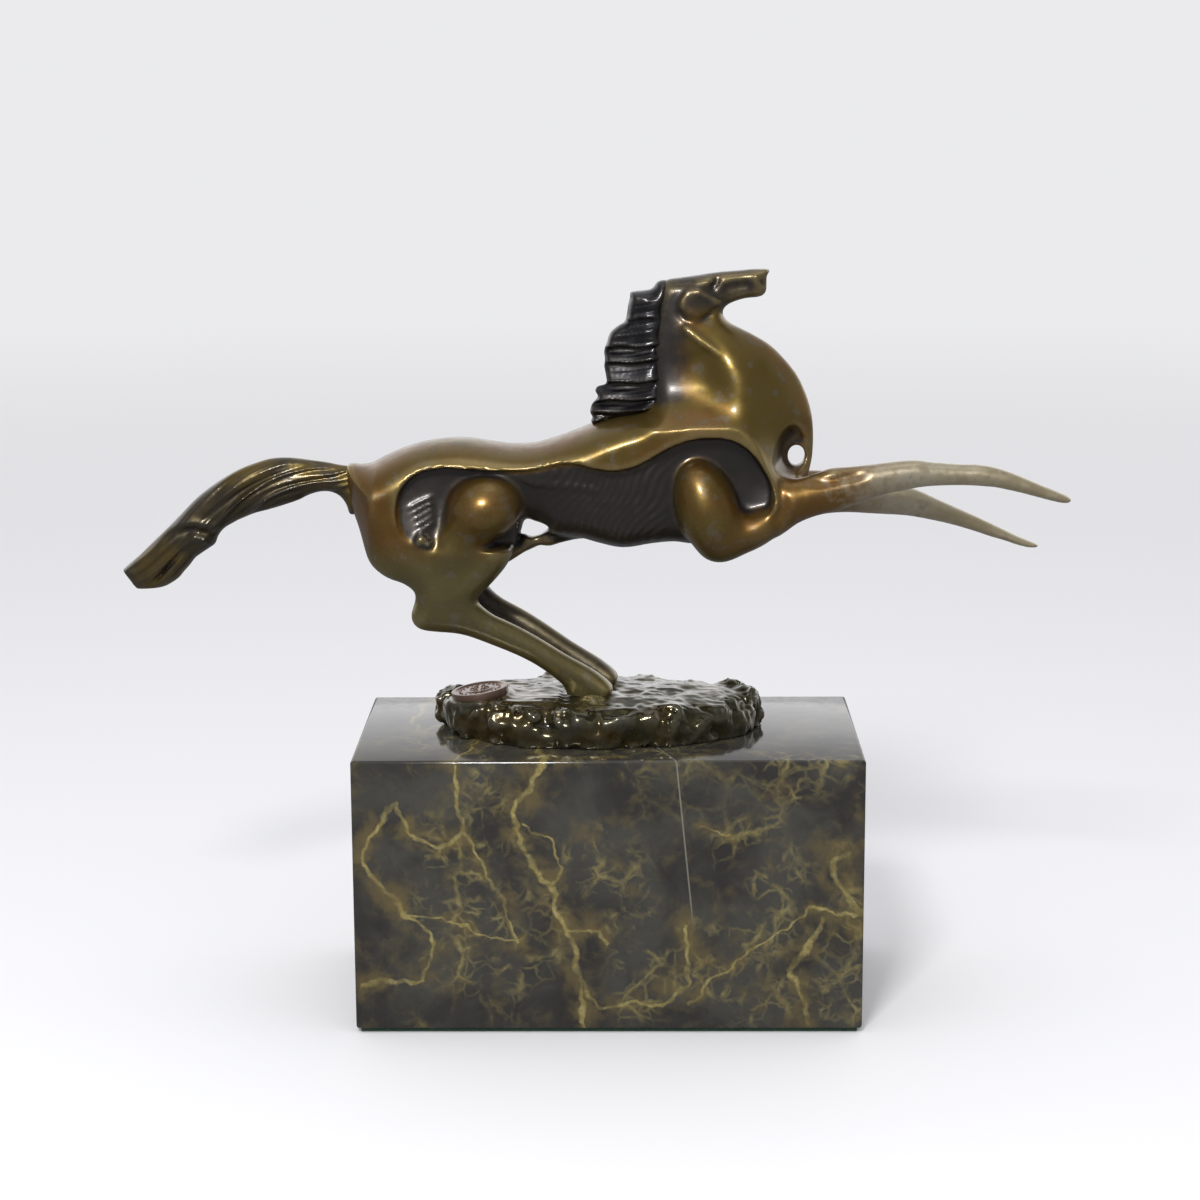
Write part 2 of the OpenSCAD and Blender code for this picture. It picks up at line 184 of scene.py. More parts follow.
def soft_min(a, b, k):
    """The smaller value, with a fillet where two values are closer than k."""
    h = np.maximum(k - np.abs(a - b), 0)
    return np.minimum(a, b) - h * h / (4 * k)


def soft_max(a, b, k):
    """The larger value, with a fillet where two values are closer than k."""
    return -soft_min(-a, -b, k)


def stroke(points, X, Z, width):
    """A tool mark along a line: 1 at its middle, fading over its width and towards its ends."""
    d, along = to_line(flow(points, False, 4), X, Z, False)
    return np.exp(-(d / width) ** 2) * ease(along, 0, 0.25) * ease(1 - along, 0, 0.25)


def tooled(heights, marks, X, Z):
    """Heights with tool marks added: each mark's height (negative cuts in), width and course."""
    for height, width, points in marks:
        heights = heights + height * stroke(points, X, Z, width)
    return heights


def grain(shape, cells, seed):
    """Smooth random heights from -1 to 1, with the given number of cells along each axis."""
    draw = np.random.default_rng(seed)
    out = draw.uniform(-1, 1, [c + 2 for c in cells])
    for axis, (size, cell) in enumerate(zip(shape, cells)):
        at = np.linspace(0, cell, size)
        i = np.minimum(at.astype(int), cell)
        t = at - i
        t = t * t * (3 - 2 * t)
        t = t.reshape([-1 if k == axis else 1 for k in range(len(shape))])
        out = np.take(out, i, axis) * (1 - t) + np.take(out, i + 1, axis) * t
    return out


class Clay:
    """A space of voxels in mm. Negative is clay; values near the skin are true distances."""

    def __init__(self, low, high, pitch):
        self.pitch = pitch
        self.axes = [np.arange(a, b + pitch, pitch) for a, b in zip(low, high)]
        self.low = np.array([a[0] for a in self.axes])
        self.x, self.y, self.z = [a.reshape([-1 if k == i else 1 for k in range(3)]).astype(np.float32)
                                  for i, a in enumerate(self.axes)]
        self.X, self.Z = np.meshgrid(self.axes[0], self.axes[2], indexing="ij")
        self.shape = tuple(len(a) for a in self.axes)
        self.field = np.full(self.shape, 4 * pitch, dtype=np.float32)

    def true(self, g):
        """Distances, within a reach of its zero, to the surface where any field is zero."""
        grid = openvdb.FloatGrid(1.0)
        grid.copyFromArray(np.ascontiguousarray(np.clip(g, -1, 1), dtype=np.float32))
        points, quads = grid.convertToQuads(isovalue=0.0)
        band = openvdb.FloatGrid.createLevelSetFromPolygons(
            points, quads=quads[:, ::-1], transform=openvdb.createLinearTransform(1.0), halfWidth=REACH)
        out = np.empty(self.shape, dtype=np.float32)
        band.copyToArray(out)
        return out * self.pitch

    def side_form(self, centre, half, deep, edge):
        """A form known from the side: its middle plane, half thickness, depth in its outline, edge radius."""
        centre, half, u = [m.astype(np.float32)[:, None, :] for m in
                           (centre, np.maximum(half, 0.3), np.minimum(deep / edge, 1))]
        return self.true((((self.y - centre) / half) ** 2 + (1 - u) ** 2 - 1) * np.minimum(half, 4))

    def egg(self, at, radii, lean=0.0):
        """An ellipsoid; lean turns its first axis up from +X, seen from the side."""
        c, s = math.cos(lean), math.sin(lean)
        x, y, z = self.x - at[0], self.y - at[1], self.z - at[2]
        along, across = (c * x + s * z) / radii[0], (c * z - s * x) / radii[2]
        q = np.sqrt(along ** 2 + (y / radii[1]) ** 2 + across ** 2)
        return self.true((q - 1) * min(radii))

    def skin(self, name, smooth):
        """The clay's surface as a mesh object, in metres, with its recesses and edges marked."""
        grid = openvdb.FloatGrid(3 * self.pitch)
        grid.copyFromArray(np.ascontiguousarray(np.clip(self.field, -3 * self.pitch, 3 * self.pitch)))
        points, quads = grid.convertToQuads(isovalue=0.0)
        mesh = bpy.data.meshes.new(name)
        place = (np.array(points) * self.pitch + self.low) * MM
        mesh.from_pydata(place.tolist(), [], np.array(quads).tolist())
        mesh.update()
        obj = bpy.data.objects.new(name, mesh)
        bpy.context.scene.collection.objects.link(obj)
        select_only(obj)
        keep_largest(obj)
        finish_with(obj, "SMOOTH", factor=0.5, iterations=smooth)
        # recess and hollow: how crowded with clay the space round each point is; the bronze rubs the open
        # edges to metal and paints crowded recesses and creases dark, as patina and painted shade
        self.crowded = {"recess": self.crowding(6.0), "hollow": self.crowding(2.2)}
        for layer, values in self.crowded.items():
            mark(obj, layer, values, self)
        return obj

    def crowding(self, radius):
        """How full of clay the space round each voxel is."""
        full = np.clip(0.5 - self.field / self.pitch, 0, 1).astype(np.float32)
        reach = max(1, int(round(radius / self.pitch)))
        for _ in range(2):
            for axis in range(3):
                pad = [(reach + 1, reach) if k == axis else (0, 0) for k in range(3)]
                total = np.cumsum(np.pad(full, pad, mode="edge"), axis=axis, dtype=np.float64)
                n = self.shape[axis]
                upper = np.take(total, range(2 * reach + 1, 2 * reach + 1 + n), axis)
                lower = np.take(total, range(0, n), axis)
                full = ((upper - lower) / (2 * reach + 1)).astype(np.float32)
        return full


def mark(obj, name, values, clay):
    """Writes a voxel field's values on a mesh's points."""
    mesh = obj.data
    if name in mesh.attributes:
        mesh.attributes.remove(mesh.attributes[name])
    at = np.empty(len(mesh.vertices) * 3, dtype=np.float32)
    mesh.vertices.foreach_get("co", at)
    cell = (at.reshape(-1, 3) / MM - clay.low) / clay.pitch
    cell = np.clip(cell, 0, np.array(clay.shape) - 1.001)
    base = cell.astype(int)
    t = cell - base
    out = np.zeros(len(cell))
    for i in (0, 1):
        for j in (0, 1):
            for k in (0, 1):
                w = (np.where(i, t[:, 0], 1 - t[:, 0]) * np.where(j, t[:, 1], 1 - t[:, 1])
                     * np.where(k, t[:, 2], 1 - t[:, 2]))
                out += w * values[base[:, 0] + i, base[:, 1] + j, base[:, 2] + k]
    layer = mesh.attributes.new(name, "FLOAT", "POINT")
    layer.data.foreach_set("value", out.astype(np.float32))


# ---------------------------------------------------------------- small mesh tools

def select_only(obj):
    """Selects one object, and makes it the active one."""
    bpy.ops.object.select_all(action="DESELECT")
    obj.select_set(True)
    bpy.context.view_layer.objects.active = obj


def finish_with(obj, kind, **settings):
    """Adds a modifier and applies it."""
    select_only(obj)
    modifier = obj.modifiers.new(kind.title(), kind)
    for key, value in settings.items():
        setattr(modifier, key, value)
    bpy.ops.object.modifier_apply(modifier=modifier.name)


def keep_largest(obj):
    """Deletes loose crumbs, keeping the one large skin."""
    mesh = obj.data
    count = len(mesh.vertices)
    edges = np.empty(len(mesh.edges) * 2, dtype=np.int32)
    mesh.edges.foreach_get("vertices", edges)
    edges = edges.reshape(-1, 2)
    label = np.arange(count)
    while True:
        low = np.minimum(label[edges[:, 0]], label[edges[:, 1]])
        new = label.copy()
        np.minimum.at(new, edges[:, 0], low)
        np.minimum.at(new, edges[:, 1], low)
        new = new[new]
        new = new[new]
        if (new == label).all():
            break
        label = new
    roots, sizes = np.unique(label, return_counts=True)
    if len(roots) == 1:
        return
    crumbs = label != roots[sizes.argmax()]
    mesh.vertices.foreach_set("select", crumbs)
    mesh.edges.foreach_set("select", np.zeros(len(mesh.edges), dtype=bool))
    mesh.polygons.foreach_set("select", np.zeros(len(mesh.polygons), dtype=bool))
    bpy.ops.object.mode_set(mode="EDIT")
    bpy.ops.mesh.select_mode(type="VERT")
    bpy.ops.mesh.delete(type="VERT")
    bpy.ops.object.mode_set(mode="OBJECT")


def copy_of(obj, name):
    """A copy with a mesh of its own."""
    twin = obj.copy()
    twin.data = obj.data.copy()
    twin.name = twin.data.name = name
    bpy.context.scene.collection.objects.link(twin)
    return twin


def rounded_look(obj, angle=35):
    """Shades a piece smooth, but for edges sharper than the angle."""
    select_only(obj)
    bpy.ops.object.shade_smooth_by_angle(angle=math.radians(angle))


def settle(obj, node, material):
    """Gives a finished piece its material and body, and hides the CAD node or nodes it replaces."""
    obj.data.materials.clear()
    obj.data.materials.append(bpy.data.materials[material])
    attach(obj, "root")
    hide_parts(*([node] if isinstance(node, str) else node))
    return obj


# ---------------------------------------------------------------- the horse's side view: x, height in mm

BODY_OUTLINE = [
    (-88, 186.6), (-84, 186.4), (-80, 187), (-75, 189.5), (-70, 191.7), (-65, 193.3), (-60, 194.5),
    (-53, 195.3), (-47, 195.2), (-40, 194.2), (-33, 193.2), (-25, 193.5), (-18, 195.3), (-10, 198.2),
    (-3, 201), (4, 203), (10, 204.5), (14, 208), (14.5, 216), (14, 228), (15, 238), (17, 246), (20, 248.5),
    (25, 249.3), (30, 250), (36, 250.9), (43, 251.5), (50, 252), (53.2, 252.1), (54.2, 251.4), (53.4, 250),
    (53.3, 247.5), (53.2, 245), (52.2, 243.4), (50.5, 242.7), (46, 242.2), (42, 241), (39.6, 239.6),
    (38.6, 237.7), (39.5, 235.5), (42, 233.6), (46, 231.6), (50, 229.5), (55, 226.3), (60, 221.3),
    (63.5, 216.8), (66, 212), (68, 206.5), (69.1, 201), (69.5, 195), (69.3, 190), (68.4, 185), (66.5, 179.5),
    (63, 174.5), (58, 168.5), (51, 162.5), (44, 160), (36, 159), (28, 159.3), (22, 160), (14, 159.3),
    (5, 158), (-3, 159.6), (-9, 161.3), (-14, 161.8), (-20, 162.8), (-24, 166), (-27, 168), (-28.6, 167),
    (-29.5, 164), (-31.3, 160), (-33.2, 155.6), (-35.2, 152.6), (-38.2, 149.2), (-41.1, 146.2),
    (-43.2, 143.9), (-43.7, 142), (-42, 139.9), (-38.6, 137.2), (-34.4, 135), (-29.5, 132.4), (-24.6, 129.4),
    (-19.7, 126.2), (-14.8, 122.9), (-9.8, 119.9), (-4.9, 116.9), (-1, 113.9), (1.2, 111.6), (1.6, 110.2),
    (0.6, 108), (-2, 104), (-12, 104), (-14, 108), (-15.4, 111.6), (-19.4, 115.4), (-24.6, 119.3),
    (-29.5, 122.2), (-34.4, 124.6), (-39.3, 126.8), (-45.2, 129.3), (-49.1, 130.6), (-53, 131.3),
    (-60.5, 132), (-63.9, 133), (-65.9, 135.2), (-66.2, 138), (-65.4, 140.8), (-64.8, 143.3), (-65.4, 145.8),
    (-68.8, 148.2), (-72.7, 149.5), (-75.7, 151), (-78.6, 153.3), (-80.6, 155.9), (-82.1, 159),
    (-83.5, 162.5), (-85, 166.5), (-86.7, 171.5), (-87.8, 177), (-88.6, 182),
]

# How far the outer skin stands from the middle plane
OUTER = [
    (-86, 180, 15), (-86, 171, 16), (-80, 184, 20), (-80, 170, 21.5), (-74, 188, 23), (-74, 176, 24.5),
    (-74, 163, 23.5), (-66, 190, 24.5), (-60, 194, 24.5), (-55, 190, 25.5), (-40, 190, 25), (-30, 190, 24.5),
    (-30, 196, 24.5), (-20, 192, 24.5), (-10, 193, 25), (-5, 200, 25), (0, 190, 26), (8, 190, 26.2),
    (15, 193, 26), (22, 196.5, 25.4), (34, 198.5, 25), (44, 196.5, 24.2), (50, 191, 23), (54, 185, 20.5),
    (58, 178, 18), (8, 201, 23), (16, 201, 21.5), (26, 202.5, 20), (36, 202.5, 19.8), (46, 201, 18.2),
    (54, 196, 15), (16, 207, 12), (24, 207.5, 13), (32, 207, 14.6), (40, 206, 16.4), (45, 205, 16.8),
    (52, 204.5, 14.6), (60, 203, 9.6), (67, 200, 4.4), (16, 215, 8), (24, 215, 8.6), (32, 215, 10.6),
    (40, 214.5, 14.2), (44.5, 214, 15.4), (51, 214, 13.2), (58, 213.5, 8.6), (64, 212.5, 4.4), (16, 224, 7),
    (24, 223.5, 8), (31, 223.5, 9.8), (37, 223, 12.6), (43, 222, 13.4), (50, 221.5, 11), (58, 220, 6),
    (16, 232, 6.6), (22, 232.5, 8), (28, 231, 10.6), (34, 228.5, 11.8), (40, 229.5, 10.2), (47, 229, 7),
    (20, 239, 7.2), (26, 238, 8), (32, 235.5, 7.6), (38, 236, 5.6), (18, 246, 6), (26, 246.5, 7.2),
    (33, 247.8, 6.4), (40, 246.5, 5), (46, 247, 4.2), (52, 248, 4.4), (56, 199, 12.5), (61, 190, 6.5),
    (57, 188, 14), (67, 190, 2.6), (63, 182, 9), (-80, 158, 21.5), (-72, 155, 22), (-62, 150, 22),
    (-60, 158, 24), (-50, 155, 23.5), (-44, 163, 24), (-38, 154, 21.5), (-34, 161, 21.5), (-30, 168, 21),
    (-60, 141, 21.2), (-50, 143, 21), (-62, 135, 20.6), (-52, 134, 20.3), (-44, 136, 19.3), (-38, 131.5, 18),
    (-30, 127.4, 16.4), (-20, 121, 14.6), (-10, 114.5, 13.4), (-5, 108, 13.2),
]

# How far the floor of the flank's hollow stands from the middle plane
HOLLOW_FLOOR = [
    (-67, 178, 17), (-60, 184, 15.5), (-61, 172, 17.5), (-62, 165, 20), (-50, 185, 15.5), (-40, 185, 16.5),
    (-26, 184.5, 18), (-20, 175, 14), (-12, 186, 18), (-10, 170, 14.6), (0, 183, 17), (0, 170, 15.2),
    (12, 184, 17), (12, 170, 15.2), (20, 190, 16.5), (20, 172, 14.8), (30, 193, 15.5), (40, 193, 15),
    (47, 187, 13.5), (51, 180, 13.5), (52, 172, 15), (0, 162, 13), (-14, 165, 11.5), (20, 163, 12.5),
    (36, 162, 12), (-26, 168, 10),
]

FLANK_RIM = [
    (-70.2, 174), (-69.6, 178.5), (-68, 182), (-65, 185), (-61, 187), (-55, 188), (-48, 187.8), (-40, 187.3),
    (-33, 187.1), (-26, 187.4), (-20, 188.5), (-15, 189.5), (-10, 189.4), (-5, 188), (0, 187.2), (5, 187.4),
    (10, 188.8), (15, 191.5), (20, 194.4), (25, 196.5), (30, 197.6), (36, 197.8), (41, 197), (45, 195),
    (48.5, 191.8), (51.5, 187.6), (54, 183), (55.2, 178), (54.8, 173), (52, 168), (46, 163), (36, 152),
    (10, 150), (-16, 152), (-28, 158), (-36, 160), (-46, 160), (-54, 159.4), (-60, 159.6), (-64.5, 161.2),
    (-68, 165), (-69.8, 169.5),
]

# How far in from the outline the skin reaches its full thickness
EDGE = [
    (-88, 182, 11), (-84, 165, 11), (-76, 152, 9.5), (-66, 145, 7.5), (-64, 136, 6.5), (-52, 132, 6),
    (-36, 126, 4.8), (-20, 117, 4.5), (-5, 112, 4.4), (-20, 126, 4.5), (-38, 137, 5), (-43, 143, 5),
    (1, 111, 2.2), (-36, 152, 6.5), (-29, 165, 6.5), (-60, 194, 10.5), (-30, 193, 9.5), (0, 202, 9),
    (13, 206, 7), (14, 222, 6), (17, 245, 5), (30, 250, 4.2), (45, 251.6, 3), (53, 249, 1.6), (44, 241.6, 3),
    (38.6, 237.6, 3), (46, 231.6, 5), (58, 223, 7), (66, 212, 7), (69.4, 198, 5.5), (69, 188, 4),
    (58, 168, 7), (36, 159, 7), (5, 158, 8), (-14, 162, 7),
]

# How far the inner side of a hind leg stands from the middle plane
INNER = [
    (-84, 160, 2), (-70, 158, 3), (-50, 158, 3), (-34, 158, 3), (-78, 150, 6), (-60, 150, 7.5),
    (-42, 150, 7.5), (-65, 142, 9.5), (-50, 142, 9.6), (-65, 134, 9.8), (-50, 133, 9.6), (-38, 131.5, 9.2),
    (-30, 127.4, 8), (-20, 121, 6.6), (-10, 114.5, 4.8), (-5, 108, 4),
]

RIGHT_FORELEG = [
    (55.5, 178), (57, 181.6), (60, 183), (64.2, 183.6), (69.2, 184.9), (74.1, 186.6), (79, 187), (84, 187.4),
    (88.9, 187.9), (93.8, 188.5), (98.8, 189), (103.7, 189.1), (108.6, 188.4), (118.5, 187.6),
    (123.4, 187.5), (128.4, 186.8), (133.3, 185.4), (138.2, 183.5), (143.1, 181.4), (148.1, 179.3),
    (152, 177.7), (154.6, 176.4), (154.9, 175.1), (153.5, 174.5), (150.1, 174.9), (143.1, 176.7),
    (138.2, 178), (133.3, 179.1), (128.4, 180), (118.5, 180.6), (108.6, 180.4), (103.7, 179.9), (98.8, 179),
    (93.8, 178), (88.9, 176.7), (84, 174.9), (79, 173.1), (74.1, 171.8), (69.2, 170.6), (64.2, 168.6),
    (59.3, 165.7), (56, 165), (54.8, 170),
]

LEFT_FORELEG = [
    (44, 178), (56, 181), (68, 182), (80, 181.5), (91, 180), (100, 177.6), (107.3, 175), (111.4, 173.1),
    (116.4, 170.8), (121.5, 168.5), (126.6, 166.2), (131.6, 163.8), (136.7, 161.3), (141.8, 158.9),
    (146, 157.2), (147.7, 156.3), (147.3, 155.4), (144, 155.5), (139.8, 156.6), (136.7, 157.7),
    (131.6, 159.2), (126.6, 160.9), (121.5, 162.5), (116.4, 163.9), (111.4, 165), (106.3, 166),
    (101.2, 166.7), (91.1, 167.2), (81, 167.6), (72, 166.5), (62, 163), (52, 159.5), (44, 162),
]

# Marks on the outer skin: height (negative cuts in), width, course
NECK_MARKS = [
    (1.3, 1.5, [(24.5, 234.6), (27, 232.4), (30, 230), (34, 227), (38.5, 223.4)]),
    (1.3, 6.5, [(33, 228), (39, 223), (42.6, 217), (44.2, 210), (44.6, 203), (45, 192), (46, 184)]),
    (-0.6, 4.5, [(30, 227), (34, 220), (34, 211)]),
]
HEAD_MARKS = [
    (1.1, 0.9, [(29, 246.2), (33, 244.2), (38.6, 241.2)]),
    (-1.2, 1.3, [(23.4, 240), (26, 236.6), (31, 236), (36, 239)]),
    (-1.7, 1.1, [(34, 245.4), (36, 247.4), (37.4, 250)]),
    (0.8, 1.4, [(28, 248.6), (32, 249.2), (35.4, 249)]),
    (-0.8, 1.6, [(38, 246), (43, 246.6), (48, 247.4)]),
    (0.8, 1.0, [(49.4, 251), (49.6, 248.4), (51, 245.6)]),
    (-1.6, 0.9, [(51, 249.6), (51.6, 247.8), (51.4, 246.4)]),
]
CHEEK = [
    (23.2, 240), (23.8, 243.2), (26, 245.8), (29, 246.5), (33, 244.8), (38.6, 241.4), (35, 238.6), (32, 236),
    (28.6, 234.4), (25, 236.6),
]
BREAST_HOLE = (63.7, 189.4, 2.9, 3.5)  # x, height, half width, half height
FLANK_HOLE = [
    (-27, 166.6), (-24, 167.3), (-21, 166.6), (-20, 165), (-21, 163.2), (-24, 161.6), (-26.8, 161.3),
    (-28, 163),
]

# Rods of the sheath: both ends and radius
SHEATH = [
    ((-10, 164), (-20, 161.3), 3.2), ((-20, 161.3), (-27.5, 159.6), 2.3), ((-27.5, 159.6), (-35, 154.6), 2.5),
]


def horse_clay(pitch):
    """The whole horse but its mane and tail, as one body of clay."""
    clay = Clay((-93, -32, 103.5), (158, 32, 255), pitch)
    X, Z = clay.X, clay.Z
    deep = depth_in(BODY_OUTLINE, X, Z)
    edge = np.maximum(sheet(EDGE, X, Z), 1.4)
    outer = np.maximum(evened(sheet(OUTER, X, Z), 60), 1.6)

    # Neck: a crease down from the cheek, and a ridge with a sunk plane behind it
    outer = tooled(outer, NECK_MARKS, X, Z)

    # Head: leaf-shaped cheek with a raised edge, eye, brow and nostril
    outer = outer + 1.5 * ease(depth_in(CHEEK, X, Z), -0.4, 1.6)
    outer = tooled(outer, HEAD_MARKS, X, Z)

    # Breast: thin round its hole, in a dimple that runs up into a point
    dimple = np.hypot((X - 62.9) / 4.0, (Z - 190.4) / (4.6 + 2.6 * ease(Z, 190, 195)))
    outer = np.minimum(outer, 2.4 + 19 * ease(dimple, 0.85, 2.6))

    floor = sheet(HOLLOW_FLOOR, X, Z) + flank_marks(X, Z)
    rim = depth_in(FLANK_RIM, X, Z)
    soft = 0.45 + 3.6 * ease(166 - Z, 0, 6) * ease(-X, 26, 60) + 4 * ease(177 - Z, 0, 8) * ease(X, 44, 52)
    outer_skin = outer + (floor - outer) * ease(rim, -0.35, soft)

    # Hind legs: the inner side comes away from the middle plane below the haunch
    leg = ease(168 - Z, 0, 14) * np.maximum(ease(-X, 25, 30), ease(156 - Z, 0, 4))
    inner = sheet(INNER, X, Z)
    inside_skin = leg * inner - (1 - leg) * outer_skin
    half, centre = (outer_skin - inside_skin) / 2, (outer_skin + inside_skin) / 2

    right = clay.side_form(-centre, half, deep, edge)
    lead = LEFT_LEAD * ease(165 - clay.axes[2], 0, 14)
    left = moved_along_x(right[:, ::-1, :], lead / pitch)
    body = np.minimum(right, left)

    thigh, shoulder = shoulder_and_thigh(clay)
    body = soft_min(soft_min(body, thigh, 2.6), shoulder, 2.2)

    # Sheath: a bridge from the belly to the thighs, under the flank's hole
    for (ax, az), (bx, bz), radius in SHEATH:
        body = soft_min(body, rod(clay, (ax, 1.5, az), (bx, 2.5, bz), radius), 2.0)

    body = soft_min(body, foreleg(clay, RIGHT_FORELEG, -1), 3.0)
    body = soft_min(body, foreleg(clay, LEFT_FORELEG, 1), 3.0)

    # Holes right through
    hx, hz, rx, rz = BREAST_HOLE
    hole = (1 - np.hypot((X - hx) / rx, (Z - hz) / rz)) * rx
    gap = depth_in(FLANK_HOLE, X, Z)
    for cut in (hole, gap):
        body = soft_max(body, cut.astype(np.float32)[:, None, :], 1.2)
    clay.field = np.clip(body, -6, 6).astype(np.float32)
    return clay


def shoulder_and_thigh(clay):
    """The balls of thigh and shoulder that stand in the flank's hollow, on both sides."""
    thigh = shoulder = np.full(clay.shape, REACH * clay.pitch, dtype=np.float32)
    for side in (-1, 1):
        lead = 0 if side < 0 else LEFT_LEAD / 2
        ball = clay.egg((-41.2 + lead, side * 15, 174.4), (12.4, 14, 10.6), math.radians(15))
        gaskin = clay.egg((-50 + lead, side * 14, 161.5), (12, 8.8, 8), math.radians(45))
        thigh = np.minimum(thigh, soft_min(ball, gaskin, 7))
        upper = clay.egg((33.4, side * 14, 173.2), (17.6, 13.4, 10.4), math.radians(109))
        forearm = clay.egg((46.5, side * 13.2, 165.2), (15, 9, 6.4), math.radians(25))
        shoulder = np.minimum(shoulder, soft_min(upper, forearm, 5))
    return thigh, shoulder


def sunk(clay):
    """Where the dark coat goes: dark patina and painted shade in the flank's hollow round its two balls,
    painted shade on the inner sides of the hind legs, and a darker coat round the flank's hole and the sheath
    under the belly, in the breast's dimple, and on the head and the neck beside the mane."""
    X, Z = clay.X, clay.Z
    inner, outer = sheet(INNER, X, Z), np.maximum(sheet(OUTER, X, Z), 1.6)
    # Dark patina and painted shade: deep in the flank's hollow, away from the balls that stand out of it
    hollow = ease(depth_in(FLANK_RIM, X, Z), 0.2, 2.6) * ease(Z, 150, 158)
    hollow = hollow[:, None, :] * ease(np.minimum(*shoulder_and_thigh(clay)), 0.3, 2.2)
    # Painted shade: the inner sides of the hind legs, below the belly, are painted dark
    legs = ease(160 - Z, 0, 8)[:, None, :] * ease(((inner + outer) / 2)[:, None, :] - np.abs(clay.y), -1, 2.5)
    hx, hz, rx, rz = BREAST_HOLE
    dimple = 0.65 * ease(8 - np.hypot(X - hx, 0.8 * (Z - hz - 1.5)), 0, 6)
    sheath = 0.9 * ease(11 - np.hypot(X + 25, 1.5 * (Z - 162.5)), 0, 3)
    mane_side = 0.9 * ease(33 - X, 0, 15) * ease(Z, 204, 212) * ease(X, 0, 10)
    head = 0.6 * ease(Z, 234, 243)
    flat = np.maximum(np.maximum(dimple, sheath), np.maximum(mane_side, head))
    return np.maximum(np.maximum(hollow, 0.92 * legs), flat[:, None, :]).astype(np.float32)


def evened(values, passes):
    """A sheet of values with its creases smoothed away."""
    for _ in range(passes):
        wide = np.pad(values, 1, mode="edge")
        values = (wide[:-2, 1:-1] + wide[2:, 1:-1] + wide[1:-1, :-2] + wide[1:-1, 2:] + 2 * values) / 6
    return values


def moved_along_x(field, cells):
    """The field moved towards +X by a number of cells that depends on the height."""
    out = np.empty_like(field)
    index = np.arange(field.shape[0])
    for k, c in enumerate(cells):
        at = np.clip(index - c, 0, field.shape[0] - 1)
        low = np.floor(at).astype(int)
        high = np.minimum(low + 1, field.shape[0] - 1)
        t = (at - low)[:, None]
        out[:, :, k] = field[low, :, k] * (1 - t) + field[high, :, k] * t
    return out


def rod(clay, a, b, radius):
    """Distance from a round-ended rod between two places."""
    a, b = np.array(a, dtype=float), np.array(b, dtype=float)
    d = b - a
    x, y, z = clay.x - a[0], clay.y - a[1], clay.z - a[2]
    t = np.clip((x * d[0] + y * d[1] + z * d[2]) / d.dot(d), 0, 1)
    away = np.sqrt((x - t * d[0]) ** 2 + (y - t * d[1]) ** 2 + (z - t * d[2]) ** 2)
    return (away - radius).astype(np.float32)


def flank_marks(X, Z):
    """Folds in the thigh's hollow, hair on the flank and fine ribs on the belly."""
    marks = np.zeros(X.shape)
    for i in range(5):
        z = 176.6 - 2.0 * i
        marks += 0.9 * stroke([(-67 + 0.8 * i, z - 2.6), (-62 + 0.6 * i, z), (-57.5, z + 1.6)], X, Z, 0.55)
    for x, z, h in ((-62, 164.6, 2.2), (-59.6, 162.6, 2.4), (-63.4, 162.2, 1.6)):
        marks += h * np.exp(-(((X - x) / 1.7) ** 2 + ((Z - z) / 1.5) ** 2))
    for i in range(7):
        x = -29 + 3.2 * i
        hair = [(x, 184.4 - 0.3 * i), (x + 3.4, 182.6 - 0.25 * i), (x + 7, 181 - 0.3 * i)]
        marks += 0.6 * stroke(hair, X, Z, 0.45)
    warp = 1.6 * np.sin(X / 7.0) + 1.1 * np.sin(Z / 3.7 + X / 11.0)
    fur = np.sin((X * 0.85 - Z * 0.55 + warp) * 2 * math.pi / 2.6)
    return marks + 0.3 * fur * ease(X, -24, -14) * ease(24 - X, 0, 10)


def foreleg(clay, outline, side):
    """A foreleg that narrows to a blunt toe; the right one also has a hollow facet on its upper side by the
    breast.
    """
    X, Z = clay.X, clay.Z
    deep = depth_in(outline, X, Z)
    reach = np.clip((X - 50) / 100, 0, 1)
    width = 8.6 - 9.5 * reach + 4.4 * reach ** 2
    half = np.maximum(width, 2.2)
    edge = np.maximum(np.interp(X, [50, 62, 74, 90, 110, 130, 148, 156], [9, 8, 6.2, 5, 4, 3, 1.9, 1.2]), 0.9)
    if side < 0:
        half = half - 2.0 * stroke([(64, 184), (72, 183), (80, 184.4), (88, 186)], X, Z, 1.7)
    centre = side * (13.4 - 2.6 * ease(X, 52, 120))
    return clay.side_form(centre, half, deep, edge)


MANE_OUTLINE = [
    (8, 244.5), (12, 245), (15, 245.6), (17, 248), (20.5, 248), (22, 243), (20, 238.6), (21.5, 235),
    (19.2, 231), (20.4, 227), (18.6, 224.4), (20.6, 221.6), (18.8, 218.4), (21, 215), (19.4, 211.6),
    (22, 208.8), (18, 206.3), (10, 203), (5, 202.3), (0, 202), (-3, 200.8), (-5, 200), (-5.6, 201.4),
    (-5, 202.6), (-5.9, 204), (-5.3, 207), (-3.2, 209.4), (-4.2, 211.4), (-3.2, 213), (-0.4, 213.9),
    (-0.6, 217), (-1.1, 219.8), (-0.8, 222), (-1.1, 225), (0, 228), (1, 231), (3.8, 233.4), (6.1, 235),
    (7, 240), (7.7, 243),
]

# Lower edge of each lock: height at its root, how deep the groove under it is, how tall the groove's slope is
LOCKS = [
    (235.4, 0.7, 6), (226.4, 2.3, 4.6), (221.2, 1.9, 6), (214.5, 2.6, 5), (208.6, 2.2, 3.6), (204.6, 1.3, 3),
]


